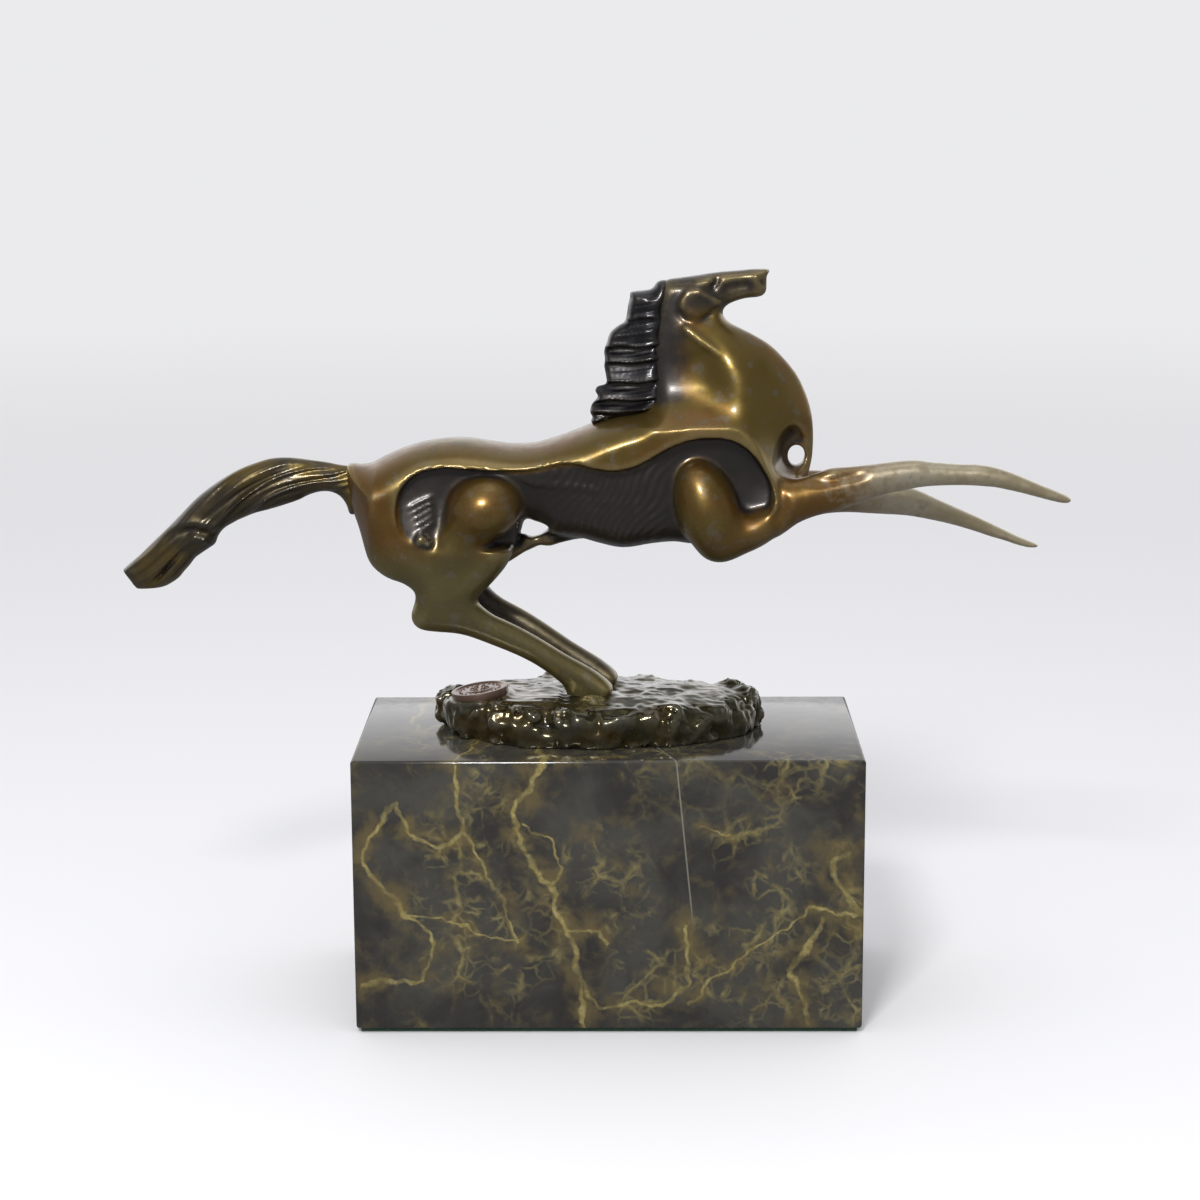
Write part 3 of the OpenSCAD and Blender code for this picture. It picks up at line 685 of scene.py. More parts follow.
def mane_clay(pitch):
    """Locks that overlap like shingles down the crest, each with a dark groove under its lower edge."""
    clay = Clay((-9, -11, 197), (24, 11, 251), pitch)
    X, Z = clay.X, clay.Z
    deep = depth_in(MANE_OUTLINE, X, Z, 3)
    half = np.interp(X, [-6, 2, 8, 13, 17, 22], [3.2, 4.6, 6.0, 7.4, 7.7, 6.6]) - 0.5 * ease(Z, 232, 244)
    half = half + 3.2 * ease(212 - Z, 0, 6) * ease(X, 4, 18)
    out = ease(21 - X, 0, 8)
    for at, depth, slope in LOCKS:
        line = at + 0.07 * (X - 2) + 0.35 * np.sin(X / 2.6 + at)
        under = line - Z
        half = half - depth * out * ease(under, -0.1, 0.55) * (1 - ease(under, 0.8, slope))
        half = half + 0.45 * out * np.exp(-((under + 0.35) / 0.5) ** 2)
    hair = np.sin(2 * math.pi * (Z - 0.09 * X + 0.5 * np.sin(X / 4.0)) / 1.25)
    hair = hair + 0.6 * np.sin(2 * math.pi * (Z - 0.15 * X) / 2.1)
    half = half + 0.11 * hair * out
    edge = np.interp(X, [-6, 4, 12, 16, 22], [1.2, 1.8, 2.6, 5, 6.5])
    clay.field = clay.side_form(np.zeros_like(X), np.maximum(half, 1.2), deep, edge)
    return clay


TAIL_OUTLINE = [
    (-79, 185.5), (-84, 185.9), (-90, 186.3), (-95, 187.3), (-100, 188), (-105, 188.7), (-110, 189),
    (-115, 188.5), (-120, 187), (-125, 185), (-130, 182.3), (-135, 179), (-140, 175), (-145, 170),
    (-150, 165), (-155, 160.3), (-160, 155.5), (-165.4, 150.9), (-165.5, 149.9), (-164, 147.5),
    (-161.8, 144.6), (-160.4, 143.8), (-155, 144), (-152, 144.6), (-150, 145.5), (-147, 147.5),
    (-145, 149.8), (-143, 152), (-141, 154.5), (-139, 156), (-136, 158), (-134, 159.5), (-133, 162),
    (-131.5, 164), (-130, 165.3), (-127, 167), (-125, 168), (-120, 170), (-115, 171.3), (-110, 172.8),
    (-105, 174.5), (-102, 176), (-99, 177), (-96, 177.4), (-93, 176.9), (-90.6, 175.4), (-88.8, 172.6),
    (-87.6, 169.5), (-84, 170), (-79, 172),
]
TAIL_PATH = [
    (-79, 181.6), (-86, 181.7), (-92, 181.9), (-100, 182.3), (-109, 181.4), (-118, 179), (-127, 174.8),
    (-137, 167.5), (-146, 159), (-154.5, 152.1), (-166, 145),
]
TAIL_HALF = [
    (-80, 181, 5.6), (-86, 181, 5.2), (-92, 182, 4.8), (-100, 182, 5), (-109, 181, 6), (-118, 179, 6.5),
    (-127, 175, 7), (-137, 167.5, 7), (-146, 159, 6.5), (-154.5, 152, 6), (-164, 147.5, 5),
]

# The second lock below, which starts at a notch in the lower edge
LOWER_LOCK_MARKS = [
    (-1.0, 1.5, [(-131, 161.4), (-135.5, 163.6), (-141, 165.2), (-147, 163.6), (-153, 159)]),
    (0.9, 1.8, [(-130, 165), (-136, 166.8), (-143, 167.4), (-149, 166)]),
    (0.9, 1.7, [(-133.4, 160.4), (-137, 162.2), (-142, 162)]),
]
STRANDS = ((4.6, 0.5, 0.13, 0), (2.7, 0.34, 0.17, 1.1), (1.5, 0.16, 0.1, 2.0))  # width, height, lean, turn


def tail_clay(pitch):
    """A lock of hair that streams back and is cut off, with strands that wind slowly round it."""
    clay = Clay((-168, -11, 141), (-77, 11, 192), pitch)
    X, Z = clay.X, clay.Z
    deep = depth_in(TAIL_OUTLINE, X, Z, 4)
    path = flow(TAIL_PATH, False, 5)
    away, along = to_line(path, X, Z, False)
    across = away * np.sign(Z - np.interp(X, path[::-1, 0], path[::-1, 1]))
    run = 103 * along - 5
    half = np.maximum(sheet(TAIL_HALF, X, Z), 3)
    wave = 0.9 * np.sin(run / 9.0) + 0.5 * np.sin(run / 3.7 + 1.3 * across)
    strands = sum(h * np.sin(2 * math.pi * (across + lean * run + wave * w / 4) / w + turn)
                  for w, h, lean, turn in STRANDS)
    strands = strands * (1 - 0.55 * ease(run, 52, 66))
    root = ease(run, 4, 16)
    half = half + strands * (0.45 + 0.55 * root)
    half = half - 0.7 * np.exp(-((np.abs(across - 3.2 + 0.035 * run) - 0.2) / 1.0) ** 2) * root

    half = tooled(half, LOWER_LOCK_MARKS, X, Z)
    for i in range(6):
        s = 2.3 * i
        hair = [(-138.5 - 0.9 * s, 160.4 - 0.7 * s), (-143.5 - 0.8 * s, 158.6 - 0.9 * s),
                (-149 - 0.6 * s, 153.4 - 0.8 * s + 0.3 * i), (-153 - 0.6 * s, 147.4 - 0.3 * s)]
        half = half - 0.6 * stroke(hair, X, Z, 0.55)

    edge = np.maximum(np.interp(run, [0, 12, 40, 90, 96], [5, 4.6, 6.4, 5.4, 2.2]), 0.9)
    half = np.maximum(half, 2.6)
    clay.field = clay.side_form(np.zeros_like(X), half, deep, edge)
    return clay


def ground_clay(pitch, length, width):
    """Rough ground: an uneven oval with craggy sides, a hollow underneath and two bosses for the studs."""
    low = (GROUND_LOW[0] - 2, GROUND_LOW[1] - 2, MARBLE_TOP - 3)
    high = (GROUND_HIGH[0] + 2, GROUND_HIGH[1] + 2, MARBLE_TOP + 20)
    clay = Clay(low, high, pitch)
    x, y, z = clay.x, clay.y, clay.z
    turn = np.arctan2(y / width, (x - GROUND_MID_X) / length)
    bay = 1 + 0.022 * np.sin(3 * turn + 0.7) + 0.016 * np.sin(5 * turn) + 0.012 * np.sin(11 * turn)
    reach = np.hypot((x - GROUND_MID_X) / (length / 2), y / (width / 2)) * 1.04 / bay
    plan = (reach - 1) * width / 2

    lumps = grain(clay.shape, [17, 10, 4], 11)
    crags = grain(clay.shape, [34, 19, 7], 12)
    gouges = grain(clay.shape, [52, 30, 5], 13)
    grit = grain(clay.shape, [96, 56, 18], 14)
    rise = z - MARBLE_TOP
    skirt = plan + 0.6 + 0.045 * (rise - 5.5) ** 2 - 1.2
    top = rise - 12.2 - 1.6 * (1 - np.clip(reach, 0, 1) ** 2)
    body = soft_max(skirt, top, 5.0)
    on_side = ease(plan, -9, -2)
    body = body + on_side * (1.8 * lumps + 1.5 * crags + 1.3 * np.abs(gouges) + 0.22 * grit - 0.4)
    body = body + (1 - on_side) * (0.7 * lumps + 0.45 * np.abs(crags) + 0.3 * gouges + 0.12 * grit)

    body = soft_max(body, plan - 0.6, 1.5)

    # Smooth pads under the hooves and a flat seat for the seal
    for hx, hy in HOOF_PADS:
        mound = np.sqrt(((x - hx) / 9.5) ** 2 + ((y - hy) / 7.5) ** 2 + ((rise - 9.6) / 5.4) ** 2) - 1
        body = soft_min(body, mound * 5.4, 3.0)
    shelf = np.maximum(np.abs(x + 26) - 9, np.maximum(np.abs(y + 9) - 10, np.maximum(rise - 13.4, 5 - rise)))
    body = soft_min(body, shelf, 2.5)
    sx, sy = (SEAL_LOW[0] + SEAL_HIGH[0]) / 2, (SEAL_LOW[1] + SEAL_HIGH[1]) / 2
    lie = rise - (x - sx) * math.sin(SEAL_TILT)
    seat = np.hypot(x - sx, y - sy)
    under = (SEAL_LOW[2] + SEAL_HIGH[2]) / 2 - MARBLE_TOP - 1.15
    body = soft_min(body, np.maximum(np.maximum(seat - SEAL_R - 0.6, lie - under), 4 - rise), 3.0)
    body = np.maximum(body, -np.maximum(seat - SEAL_R - 1.4, under - lie))

    # The hollow underneath and the bosses that the studs screw into
    hollow = np.maximum(plan + 6.5, rise - 7.2)
    for stud in STUD_X:
        hollow = np.maximum(hollow, 6.6 - np.hypot(x - stud, y))
    body = soft_max(body, -hollow, 1.0)
    clay.field = np.clip(np.maximum(body, -rise), -6, 6).astype(np.float32)
    return clay


# ---------------------------------------------------------------- colour and nodes

def shade(code):
    """An sRGB hex colour as linear red, green, blue, alpha."""
    out = []
    for i in (1, 3, 5):
        c = int(code[i:i + 2], 16) / 255
        out.append(c / 12.92 if c <= 0.04045 else ((c + 0.055) / 1.055) ** 2.4)
    return (*out, 1.0)


def fill(tree, node, links):
    """Fills a node's inputs, in order or by name or number. A node stands for its first output in use."""
    for key, value in links.items() if isinstance(links, dict) else enumerate(links):
        if isinstance(value, bpy.types.Node):
            value = next(out for out in value.outputs if out.enabled)
        if isinstance(value, bpy.types.NodeSocket):
            tree.links.new(value, node.inputs[key])
        else:
            node.inputs[key].default_value = value


def add(tree, kind, links=(), **settings):
    """Adds a node, with settings named like its properties and links to its inputs."""
    node = tree.nodes.new(kind)
    for key, value in settings.items():
        setattr(node, key, value)
    fill(tree, node, links)
    return node


def fresh_material(name):
    """An empty material with its output, its principled shader and its place on the object in metres."""
    material = bpy.data.materials.new(name)
    material.use_nodes = True
    tree = material.node_tree
    tree.nodes.clear()
    shader = add(tree, "ShaderNodeBsdfPrincipled")
    add(tree, "ShaderNodeOutputMaterial", {"Surface": shader})
    place = add(tree, "ShaderNodeTexCoord").outputs["Object"]
    return material, tree, shader, place


EASED = {"interpolation_type": "SMOOTHSTEP"}


def bronze(name, look, body, warm, dark, bright, rough=(0.32, 0.46), worn=0.45, recess_darkness=1.0, leg=None,
           pale=None):
    """Cast bronze, chased smooth, patinated and waxed: brown where it is handled, nearly black in its
    recesses and creases as dark patina and painted shade, and rubbed through to brassy metal on its edges,
    under a thin coat of wax. With a leg colour it also takes the horse's painted layer of shade and patina."""
    tree, shader, place = fresh_material(name)[1:]
    recess = add(tree, "ShaderNodeAttribute", attribute_name="recess").outputs["Fac"]
    hollow = add(tree, "ShaderNodeAttribute", attribute_name="hollow").outputs["Fac"]
    cloud, mottle, speck = (
        add(tree, "ShaderNodeTexNoise", {"Vector": place, "Scale": 1 / (size * MM), "Detail": detail,
                                         "Roughness": coarse, "Distortion": warp})
        for size, detail, coarse, warp in ((26, 3, 0.55, 0.4), (5.5, 4, 0.6, 0), (1.3, 3, 0.6, 0)))

    # Coats of colour over the body colour, from the first to the last
    coats = [(add(tree, "ShaderNodeMapRange", (cloud, 0.40, 0.62), **EASED), warm)]
    if leg:
        # Greener and greyer below the haunch, pale and rubbed towards the fore hooves
        x, _, z = add(tree, "ShaderNodeSeparateXYZ", (place,)).outputs
        ragged = add(tree, "ShaderNodeMath", (cloud, 12 * MM), operation="MULTIPLY")
        height = add(tree, "ShaderNodeMath", (z, ragged), operation="ADD")
        coats.append((add(tree, "ShaderNodeMapRange", (height, 176 * MM, 158 * MM), **EASED), leg))
        rubbed = add(tree, "ShaderNodeMapRange", (x, 60 * MM, 108 * MM), **EASED)
        patchy = add(tree, "ShaderNodeMapRange", (mottle, 0.4, 0.7, -0.3, 0.15), **EASED)
        coats.append((add(tree, "ShaderNodeMath", (rubbed, patchy), operation="ADD", use_clamp=True), pale))
    coats.append((add(tree, "ShaderNodeMapRange", (mottle, 0.50, 0.72, 0.0, 0.45), **EASED), dark))
    if leg:
        # Painted shade and dark patina from the horse's dark coat layer: the flank's hollow, the inner sides
        # of the hind legs, and darker places round the breast, sheath, head and mane
        painted = add(tree, "ShaderNodeAttribute", attribute_name="dark_patina_and_shade").outputs["Fac"]
        uneven = add(tree, "ShaderNodeMapRange", (mottle, 0.35, 0.7, 0.12, -0.12), **EASED)
        streak = add(tree, "ShaderNodeMath", (painted, uneven), operation="ADD")
        coats.append((add(tree, "ShaderNodeMapRange", (streak, 0.1, 0.8, 0.0, 0.97), **EASED), dark))

    # Rubbed edges, and dark patina with painted shade in wide recesses and fine creases, each broken up by a
    # little noise
    amounts = []
    for layer, dust, share, limits in ((hollow, speck, 0.08, (0.5, 0.36, 0.0, worn)),
                                       (recess, mottle, 0.10, (0.60, 0.78, 0.0, recess_darkness)),
                                       (hollow, speck, 0.05, (0.56, 0.70, 0.0, recess_darkness))):
        dust = add(tree, "ShaderNodeMath", (dust, share), operation="MULTIPLY")
        dusty = add(tree, "ShaderNodeMath", (layer, dust), operation="ADD")
        amounts.append(add(tree, "ShaderNodeMapRange", (dusty, *limits), **EASED))
    edges, recesses, creases = amounts
    coats.append((edges, bright))
    # Painted shade and dark patina: recesses and creases, where the clay crowds round, go nearly black
    coats.append((add(tree, "ShaderNodeMath", (recesses, creases), operation="MAXIMUM"), dark))
    colour = body
    for amount, coat in coats:
        colour = add(tree, "ShaderNodeMix", {0: amount, 6: colour, 7: coat}, data_type="RGBA")

    dents = add(tree, "ShaderNodeMath", (mottle, 0.6), operation="MULTIPLY")
    pits = add(tree, "ShaderNodeMath", (speck, 0.25), operation="MULTIPLY")
    height = add(tree, "ShaderNodeMath", (dents, pits), operation="ADD")
    skin = {"Height": height, "Distance": 0.22 * MM, "Strength": look.bump}
    fill(tree, shader, {
        "Base Color": colour,
        "Roughness": add(tree, "ShaderNodeMapRange", (mottle, 0.3, 0.7, *rough), **EASED),
        "Normal": add(tree, "ShaderNodeBump", skin),
        "Metallic": look.metal, "Coat Weight": look.wax, "Coat Roughness": 0.16, "Coat IOR": 1.45,
    })


# Ochre veins on the marble's front: half width, then course, from left to right or from the top down, in mm
VEINS = [
    (0.9, [(-50, 95), (-50.2, 85), (-48.4, 68.5), (-41.3, 57.3), (-35, 46), (-28.8, 31)]),
    (1.0, [(-83, 61), (-77, 72), (-70.6, 78), (-66.2, 69.4), (-56.4, 64.8), (-48.4, 68.5)]),
    (1.1, [(-83, 61), (-77.8, 51.7), (-69.8, 42.4), (-59, 31.3), (-61.7, 22), (-74, 17.4), (-82, 16.4)]),
    (0.7, [(-70, 42), (-54.6, 38.7), (-43, 35), (-28.8, 31)]),
    (1.3, [(-21.7, 95), (-30.6, 78), (-29.7, 69), (-21.7, 53.6), (-15.5, 40.6), (-11.9, 27.6), (-8.4, 3)]),
    (0.7, [(-28, 72), (-18, 68.5), (-15.5, 59.2), (-20, 51.7)]),
    (1.0, [(-14, 35), (-3, 35), (0.5, 31)]),
    (1.2, [(-10, 18), (-3, 11), (7.7, 10), (18.3, 11.8), (26.3, 18.3), (27.2, 27.6), (25.4, 37)]),
    (0.7, [(25.4, 11), (36, 21), (46.8, 28.5), (55.7, 36), (66.4, 42.4), (82.4, 40.6)]),
    (1.6, [(80, 62), (74.4, 63), (76.2, 53.6), (80.6, 44), (85, 40)]),
    (1.3, [(71.7, 38.7), (64.6, 27.6), (61, 21), (64.6, 12.7), (66.4, 5)]),
    (0.6, [(30.8, 72), (39.7, 70)]),
]
HALF_DEPTH = 45 * MM
HAIRLINE_AT = Vector((26, -45, 60))  # a place on the straight hairline, in mm
HAIRLINE_ACROSS = Vector((1.0, 0.35, 0.10)).normalized()


def marble_material(look):
    """Polished dark marble: charcoal and olive-brown cloud, a web of ochre calcite veins that bleed into it,
    and one straight white hairline."""
    tree, shader, place = fresh_material("polished_dark_marble")[1:]
    cloud, patch, fine, gaps, gathering = (
        add(tree, "ShaderNodeTexNoise", {"Vector": place, "Scale": 1 / (size * MM), "Detail": detail,
                                         "Roughness": coarse, "Distortion": warp})
        for size, detail, coarse, warp in ((34, 4, 0.6, 0.6), (11, 4, 0.62, 0.3), (3.2, 5, 0.65, 0),
                                           (8, 3, 0.6, 0), (30, 2, 0.5, 0)))
    dark, olive = look.marble_dark[:], look.marble_olive[:]

    bend = add(tree, "ShaderNodeTexNoise", {"Vector": place, "Scale": 1 / (13 * MM), "Detail": 3.0,
                                            "Roughness": 0.55})
    bent = add(tree, "ShaderNodeVectorMath", (bend.outputs["Color"], (0.5, 0.5, 0.5)), operation="SUBTRACT")
    bent = add(tree, "ShaderNodeVectorMath", {0: bent, "Scale": 11 * MM}, operation="SCALE")
    warped = add(tree, "ShaderNodeVectorMath", (place, bent), operation="ADD")

    # Veins run back through the block, downwards and to the right
    wx, wy, wz = add(tree, "ShaderNodeSeparateXYZ", (warped,)).outputs
    back = add(tree, "ShaderNodeMath", (wy, HALF_DEPTH), operation="ADD")
    right = add(tree, "ShaderNodeMath", (back, -0.2), operation="MULTIPLY")
    down = add(tree, "ShaderNodeMath", (back, -0.45), operation="MULTIPLY")
    spot = add(tree, "ShaderNodeCombineXYZ", {"X": add(tree, "ShaderNodeMath", (wx, right), operation="ADD"),
                                              "Z": add(tree, "ShaderNodeMath", (wz, down), operation="ADD")})
    away = 9.0  # in half widths: further than any vein reaches
    for width, points in VEINS:
        near = 1.0  # in metres, likewise
        for a, b in zip(points, points[1:]):
            start = Vector((a[0], 0, a[1])) * MM
            run = Vector((b[0], 0, b[1])) * MM - start
            aside = add(tree, "ShaderNodeVectorMath", (spot, start), operation="SUBTRACT")
            t = add(tree, "ShaderNodeVectorMath", (aside, run / run.length_squared), operation="DOT_PRODUCT")
            t = add(tree, "ShaderNodeMath", (t, 1.0), operation="MULTIPLY", use_clamp=True)
            foot = add(tree, "ShaderNodeVectorMath", {0: run, "Scale": t}, operation="SCALE")
            gap = add(tree, "ShaderNodeVectorMath", (aside, foot), operation="DISTANCE")
            near = add(tree, "ShaderNodeMath", (near, gap), operation="MINIMUM")
        near = add(tree, "ShaderNodeMath", (near, 1 / (width * MM)), operation="MULTIPLY")
        away = add(tree, "ShaderNodeMath", (away, near), operation="MINIMUM")
    sharp = add(tree, "ShaderNodeMapRange", (away, 0.2, 1.0, 0.9, 0.0), **EASED)
    broken = add(tree, "ShaderNodeMapRange", (gaps, 0.34, 0.6, 0.3, 1.0), **EASED)
    core = add(tree, "ShaderNodeMath", (sharp, broken), operation="MULTIPLY")
    stain = add(tree, "ShaderNodeMapRange", (away, 0.8, 6.5, 0.75, 0.0), **EASED)
    patchy = add(tree, "ShaderNodeMapRange", (patch, 0.38, 0.6), **EASED)
    halo = add(tree, "ShaderNodeMath", (stain, patchy), operation="MULTIPLY")

    # Web: the soft edges of two sizes of warped cells, only where clouds of calcite gather
    dense = add(tree, "ShaderNodeMapRange", (gathering, 0.42, 0.62), **EASED)
    web = 0.0
    for size, width, amount in ((13, 0.10, 0.55), (6, 0.13, 0.35)):
        cells = add(tree, "ShaderNodeTexVoronoi", {"Vector": warped, "Scale": 1 / (size * MM)},
                    feature="DISTANCE_TO_EDGE")
        line = add(tree, "ShaderNodeMapRange", (cells, 0.0, width, amount, 0.0), **EASED)
        broken = add(tree, "ShaderNodeMapRange", (gaps, 0.40, 0.62), **EASED)
        line = add(tree, "ShaderNodeMath", (line, broken), operation="MULTIPLY")
        line = add(tree, "ShaderNodeMath", (line, dense), operation="MULTIPLY")
        web = add(tree, "ShaderNodeMath", (web, line), operation="MAXIMUM")

    # The straight hairline, which fades out towards the felt
    off = add(tree, "ShaderNodeVectorMath", (place, HAIRLINE_ACROSS), operation="DOT_PRODUCT")
    off = add(tree, "ShaderNodeMath", (off, HAIRLINE_ACROSS.dot(HAIRLINE_AT) * MM), operation="SUBTRACT")
    off = add(tree, "ShaderNodeMath", (off,), operation="ABSOLUTE")
    hair = add(tree, "ShaderNodeMapRange", (off, 0.05 * MM, 0.38 * MM, 0.5, 0.0), **EASED)
    z = add(tree, "ShaderNodeSeparateXYZ", (place,)).outputs["Z"]
    fade = add(tree, "ShaderNodeMapRange", (z, 36 * MM, 48 * MM), **EASED)

    tones = add(tree, "ShaderNodeMapRange", (fine, 0.35, 0.7), **EASED)
    ochre = add(tree, "ShaderNodeMix", {0: tones, 6: look.vein_ochre[:], 7: look.vein_pale[:]},
                data_type="RGBA")
    colour = dark
    for amount, coat in (
            (add(tree, "ShaderNodeMapRange", (cloud, 0.36, 0.66), **EASED), look.marble_grey[:]),
            (add(tree, "ShaderNodeMapRange", (patch, 0.5, 0.72, 0.0, 0.55), **EASED), olive),
            (add(tree, "ShaderNodeMapRange", (fine, 0.5, 0.75, 0.0, 0.4), **EASED), dark),
            (halo, olive),
            (add(tree, "ShaderNodeMath", (core, web), operation="MAXIMUM"), ochre),
            (add(tree, "ShaderNodeMath", (hair, fade), operation="MULTIPLY"), look.vein_white[:])):
        colour = add(tree, "ShaderNodeMix", {0: amount, 6: colour, 7: coat}, data_type="RGBA")
    polish = add(tree, "ShaderNodeMapRange", (fine, 0.3, 0.8, 0.10, 0.17), **EASED)
    fill(tree, shader, {"Base Color": colour, "Roughness": polish, "IOR": 1.62})


def steel_material():
    """Turned mild steel with a thin zinc coat: grey, fine lines from the tool, a little oily."""
    tree, shader, place = fresh_material("turned_zinc_steel")[1:]
    drawn_out = add(tree, "ShaderNodeMapping", {"Vector": place, "Scale": (1, 1, 7)})
    lines = add(tree, "ShaderNodeTexNoise", {"Vector": drawn_out, "Scale": 1 / (0.7 * MM), "Detail": 2,
                                             "Roughness": 0.5})
    share = add(tree, "ShaderNodeMapRange", (lines, 0.3, 0.7), **EASED)
    greys = {0: share, 6: shade("#8b8c8c"), 7: shade("#a9aaa8")}
    fill(tree, shader, {
        "Base Color": add(tree, "ShaderNodeMix", greys, data_type="RGBA"),
        "Roughness": add(tree, "ShaderNodeMapRange", (lines, 0.3, 0.7, 0.28, 0.45), **EASED),
        "Metallic": 1.0,
    })


def felt_material():
    """Pressed green wool felt: matt, with short fibres that lie every way; drawn coarser than real ones so
    that they show."""
    tree, shader, place = fresh_material("pressed_wool_felt")[1:]
    fibre = add(tree, "ShaderNodeTexNoise", {"Vector": place, "Scale": 1 / (0.8 * MM), "Detail": 4,
                                             "Roughness": 0.7, "Distortion": 1.5})
    share = add(tree, "ShaderNodeMapRange", (fibre, 0.35, 0.7), **EASED)
    greens = {0: share, 6: shade("#14291c"), 7: shade("#274a33")}
    fill(tree, shader, {
        "Base Color": add(tree, "ShaderNodeMix", greens, data_type="RGBA"),
        "Normal": add(tree, "ShaderNodeBump", {"Height": fibre, "Distance": 0.3 * MM, "Strength": 0.8}),
        "Roughness": 0.95, "Sheen Weight": 0.4,
    })


# ---------------------------------------------------------------- sizes and colours that a user may change

def colour_prop(name, about, code):
    """A colour with its default as an sRGB hex code."""
    return FloatVectorProperty(name=name, description=about, subtype="COLOR", size=4, min=0, max=1,
                               default=shade(code))


class BronzeLook(bpy.types.PropertyGroup):
    body: colour_prop("Patina", "Olive-brown patina on the smooth skin", "#786430")
    warm: colour_prop("Warm patina", "Warmer brown in clouds on the neck, back and thigh", "#7c5a2a")
    # Also the colour of the painted shade in recesses, creases, the flank's hollow and on the inner sides of
    # the hind legs
    dark: colour_prop("Recess patina", "Nearly black patina in recesses", "#454240")
    bright: colour_prop("Rubbed metal", "Brassy metal on edges", "#b3a06e")
    leg: colour_prop("Leg patina", "Greener, greyer patina below the haunch", "#736a44")
    pale: colour_prop("Foreleg metal", "Pale rubbed metal of the forelegs", "#dcd3bd")
    hair: colour_prop("Hair patina", "Grey-brown patina of the mane", "#242327")
    hair_bright: colour_prop("Hair edges", "Rubbed edges of the hair", "#4f4c48")
    tail: colour_prop("Tail patina", "Olive-brown patina of the tail", "#4f4736")
    ground: colour_prop("Ground patina", "Dark green-brown patina of the ground", "#45432f")
    ground_warm: colour_prop("Ground brown", "Warmer brown clouds on the ground", "#574a2a")
    ground_bright: colour_prop("Ground edges", "Rubbed edges of the ground", "#9b998a")
    copper: colour_prop("Seal copper", "Copper red of the seal", "#5c4339")
    copper_bright: colour_prop("Seal edges", "Rubbed copper", "#9a8070")
    metal: FloatProperty(name="Metallic", description="How metallic the patinated skin is", default=0.85,
                         min=0, max=1)
    wax: FloatProperty(name="Wax", description="Weight of the wax coat", default=0.55, min=0, max=1)
    bump: FloatProperty(name="Cast skin", description="Strength of the cast skin's unevenness", default=0.3,
                        min=0, max=1)


class MarbleLook(bpy.types.PropertyGroup):
    marble_dark: colour_prop("Dark", "Darkest marble", "#2a2826")
    marble_grey: colour_prop("Grey", "Charcoal marble", "#3d3c37")
    marble_olive: colour_prop("Olive", "Olive-brown patches", "#5a4f33")
    vein_ochre: colour_prop("Ochre vein", "Ochre calcite", "#75683a")
    vein_pale: colour_prop("Pale vein", "Pale gold calcite", "#978c5c")
    vein_white: colour_prop("White vein", "White hairline", "#8f8c7c")


class CastingSizes(bpy.types.PropertyGroup):
    horse_voxel: FloatProperty(name="Horse voxel", description="Voxel of the horse's clay", default=0.6 * MM,
                               min=0.4 * MM, max=2 * MM, unit="LENGTH", precision=5)
    hair_voxel: FloatProperty(name="Hair voxel", description="Voxel of the mane's and the tail's clay",
                              default=0.38 * MM, min=0.25 * MM, max=1 * MM, unit="LENGTH", precision=5)
    ground_voxel: FloatProperty(name="Ground voxel", description="Voxel of the ground's clay",
                                default=0.6 * MM, min=0.4 * MM, max=2 * MM, unit="LENGTH", precision=5)
    marble_bevel: FloatProperty(name="Marble bevel", description="Bevel of the block's edges", default=1 * MM,
                                min=0.2 * MM, max=3 * MM, unit="LENGTH", precision=5)
    stud_hole: FloatProperty(name="Stud hole", description="Diameter of a stud's hole in the marble",
                             default=7 * MM, unit="LENGTH", precision=5)


class StageSettings(bpy.types.PropertyGroup):
    lens: FloatProperty(name="Lens", description="Focal length in mm", default=79.77, min=20, max=200)
    key: FloatProperty(name="Key light", description="Power of the soft key light in watts", default=8.5,
                       min=0)
    top: FloatProperty(name="Top light", description="Power of the overhead light in watts", default=0.5,
                       min=0)
    room: FloatProperty(name="Room light", description="Strength of the pale room", default=0.9, min=0)
    mirrored: FloatProperty(name="Room in metal", description="Strength of the room as metal mirrors it",
                            default=0.8, min=0)
    dim_floor: FloatProperty(name="Floor in metal", description="Strength of the floor as metal mirrors it",
                             default=0.9, min=0)
    floor: colour_prop("Floor", "Pale floor", "#e4e4e6")
    backdrop: colour_prop("Backdrop", "Pale room behind the horse", "#ebebed")


# ---------------------------------------------------------------- pieces

def cut_with(obj, cutter, operation):
    """Joins, cuts or crops a piece by another closed one."""
    finish_with(obj, "BOOLEAN", operation=operation, solver="MANIFOLD", object=cutter)


def block_between(low, high, name="cutter"):
    """A box between two corners in mm."""
    low, high = np.array(low, dtype=float), np.array(high, dtype=float)
    bpy.ops.object.select_all(action="DESELECT")
    bpy.ops.mesh.primitive_cube_add(size=1, location=(low + high) / 2 * MM, scale=(high - low) * MM)
    obj = bpy.context.object
    obj.name = obj.data.name = name
    bpy.ops.object.transform_apply(location=True, rotation=True, scale=True)
    return obj


def wedge_above(line, top):
    """A solid over a line in the side view that runs on past both of its ends."""
    (ax, az), (bx, bz) = line
    slope = (bz - az) / (bx - ax)
    obj = block_between((-300, -100, 0), (300, 100, top))
    for v in obj.data.vertices:
        if v.co.z < 1 * MM:
            v.co.z = (az + slope * (v.co.x / MM - ax)) * MM
    return obj


def drop(obj):
    """Removes an object and its mesh."""
    mesh = obj.data
    bpy.data.objects.remove(obj)
    bpy.data.meshes.remove(mesh)


def cast_pieces(horse, regions):
    """Cuts the horse into its castings: each region's solid takes one away from what is left."""
    pieces = {}
    for name, cutter in regions:
        piece = copy_of(horse, name)
        cut_with(piece, cutter, "INTERSECT")
        cut_with(horse, cutter, "DIFFERENCE")
        drop(cutter)
        pieces[name] = piece
    return pieces


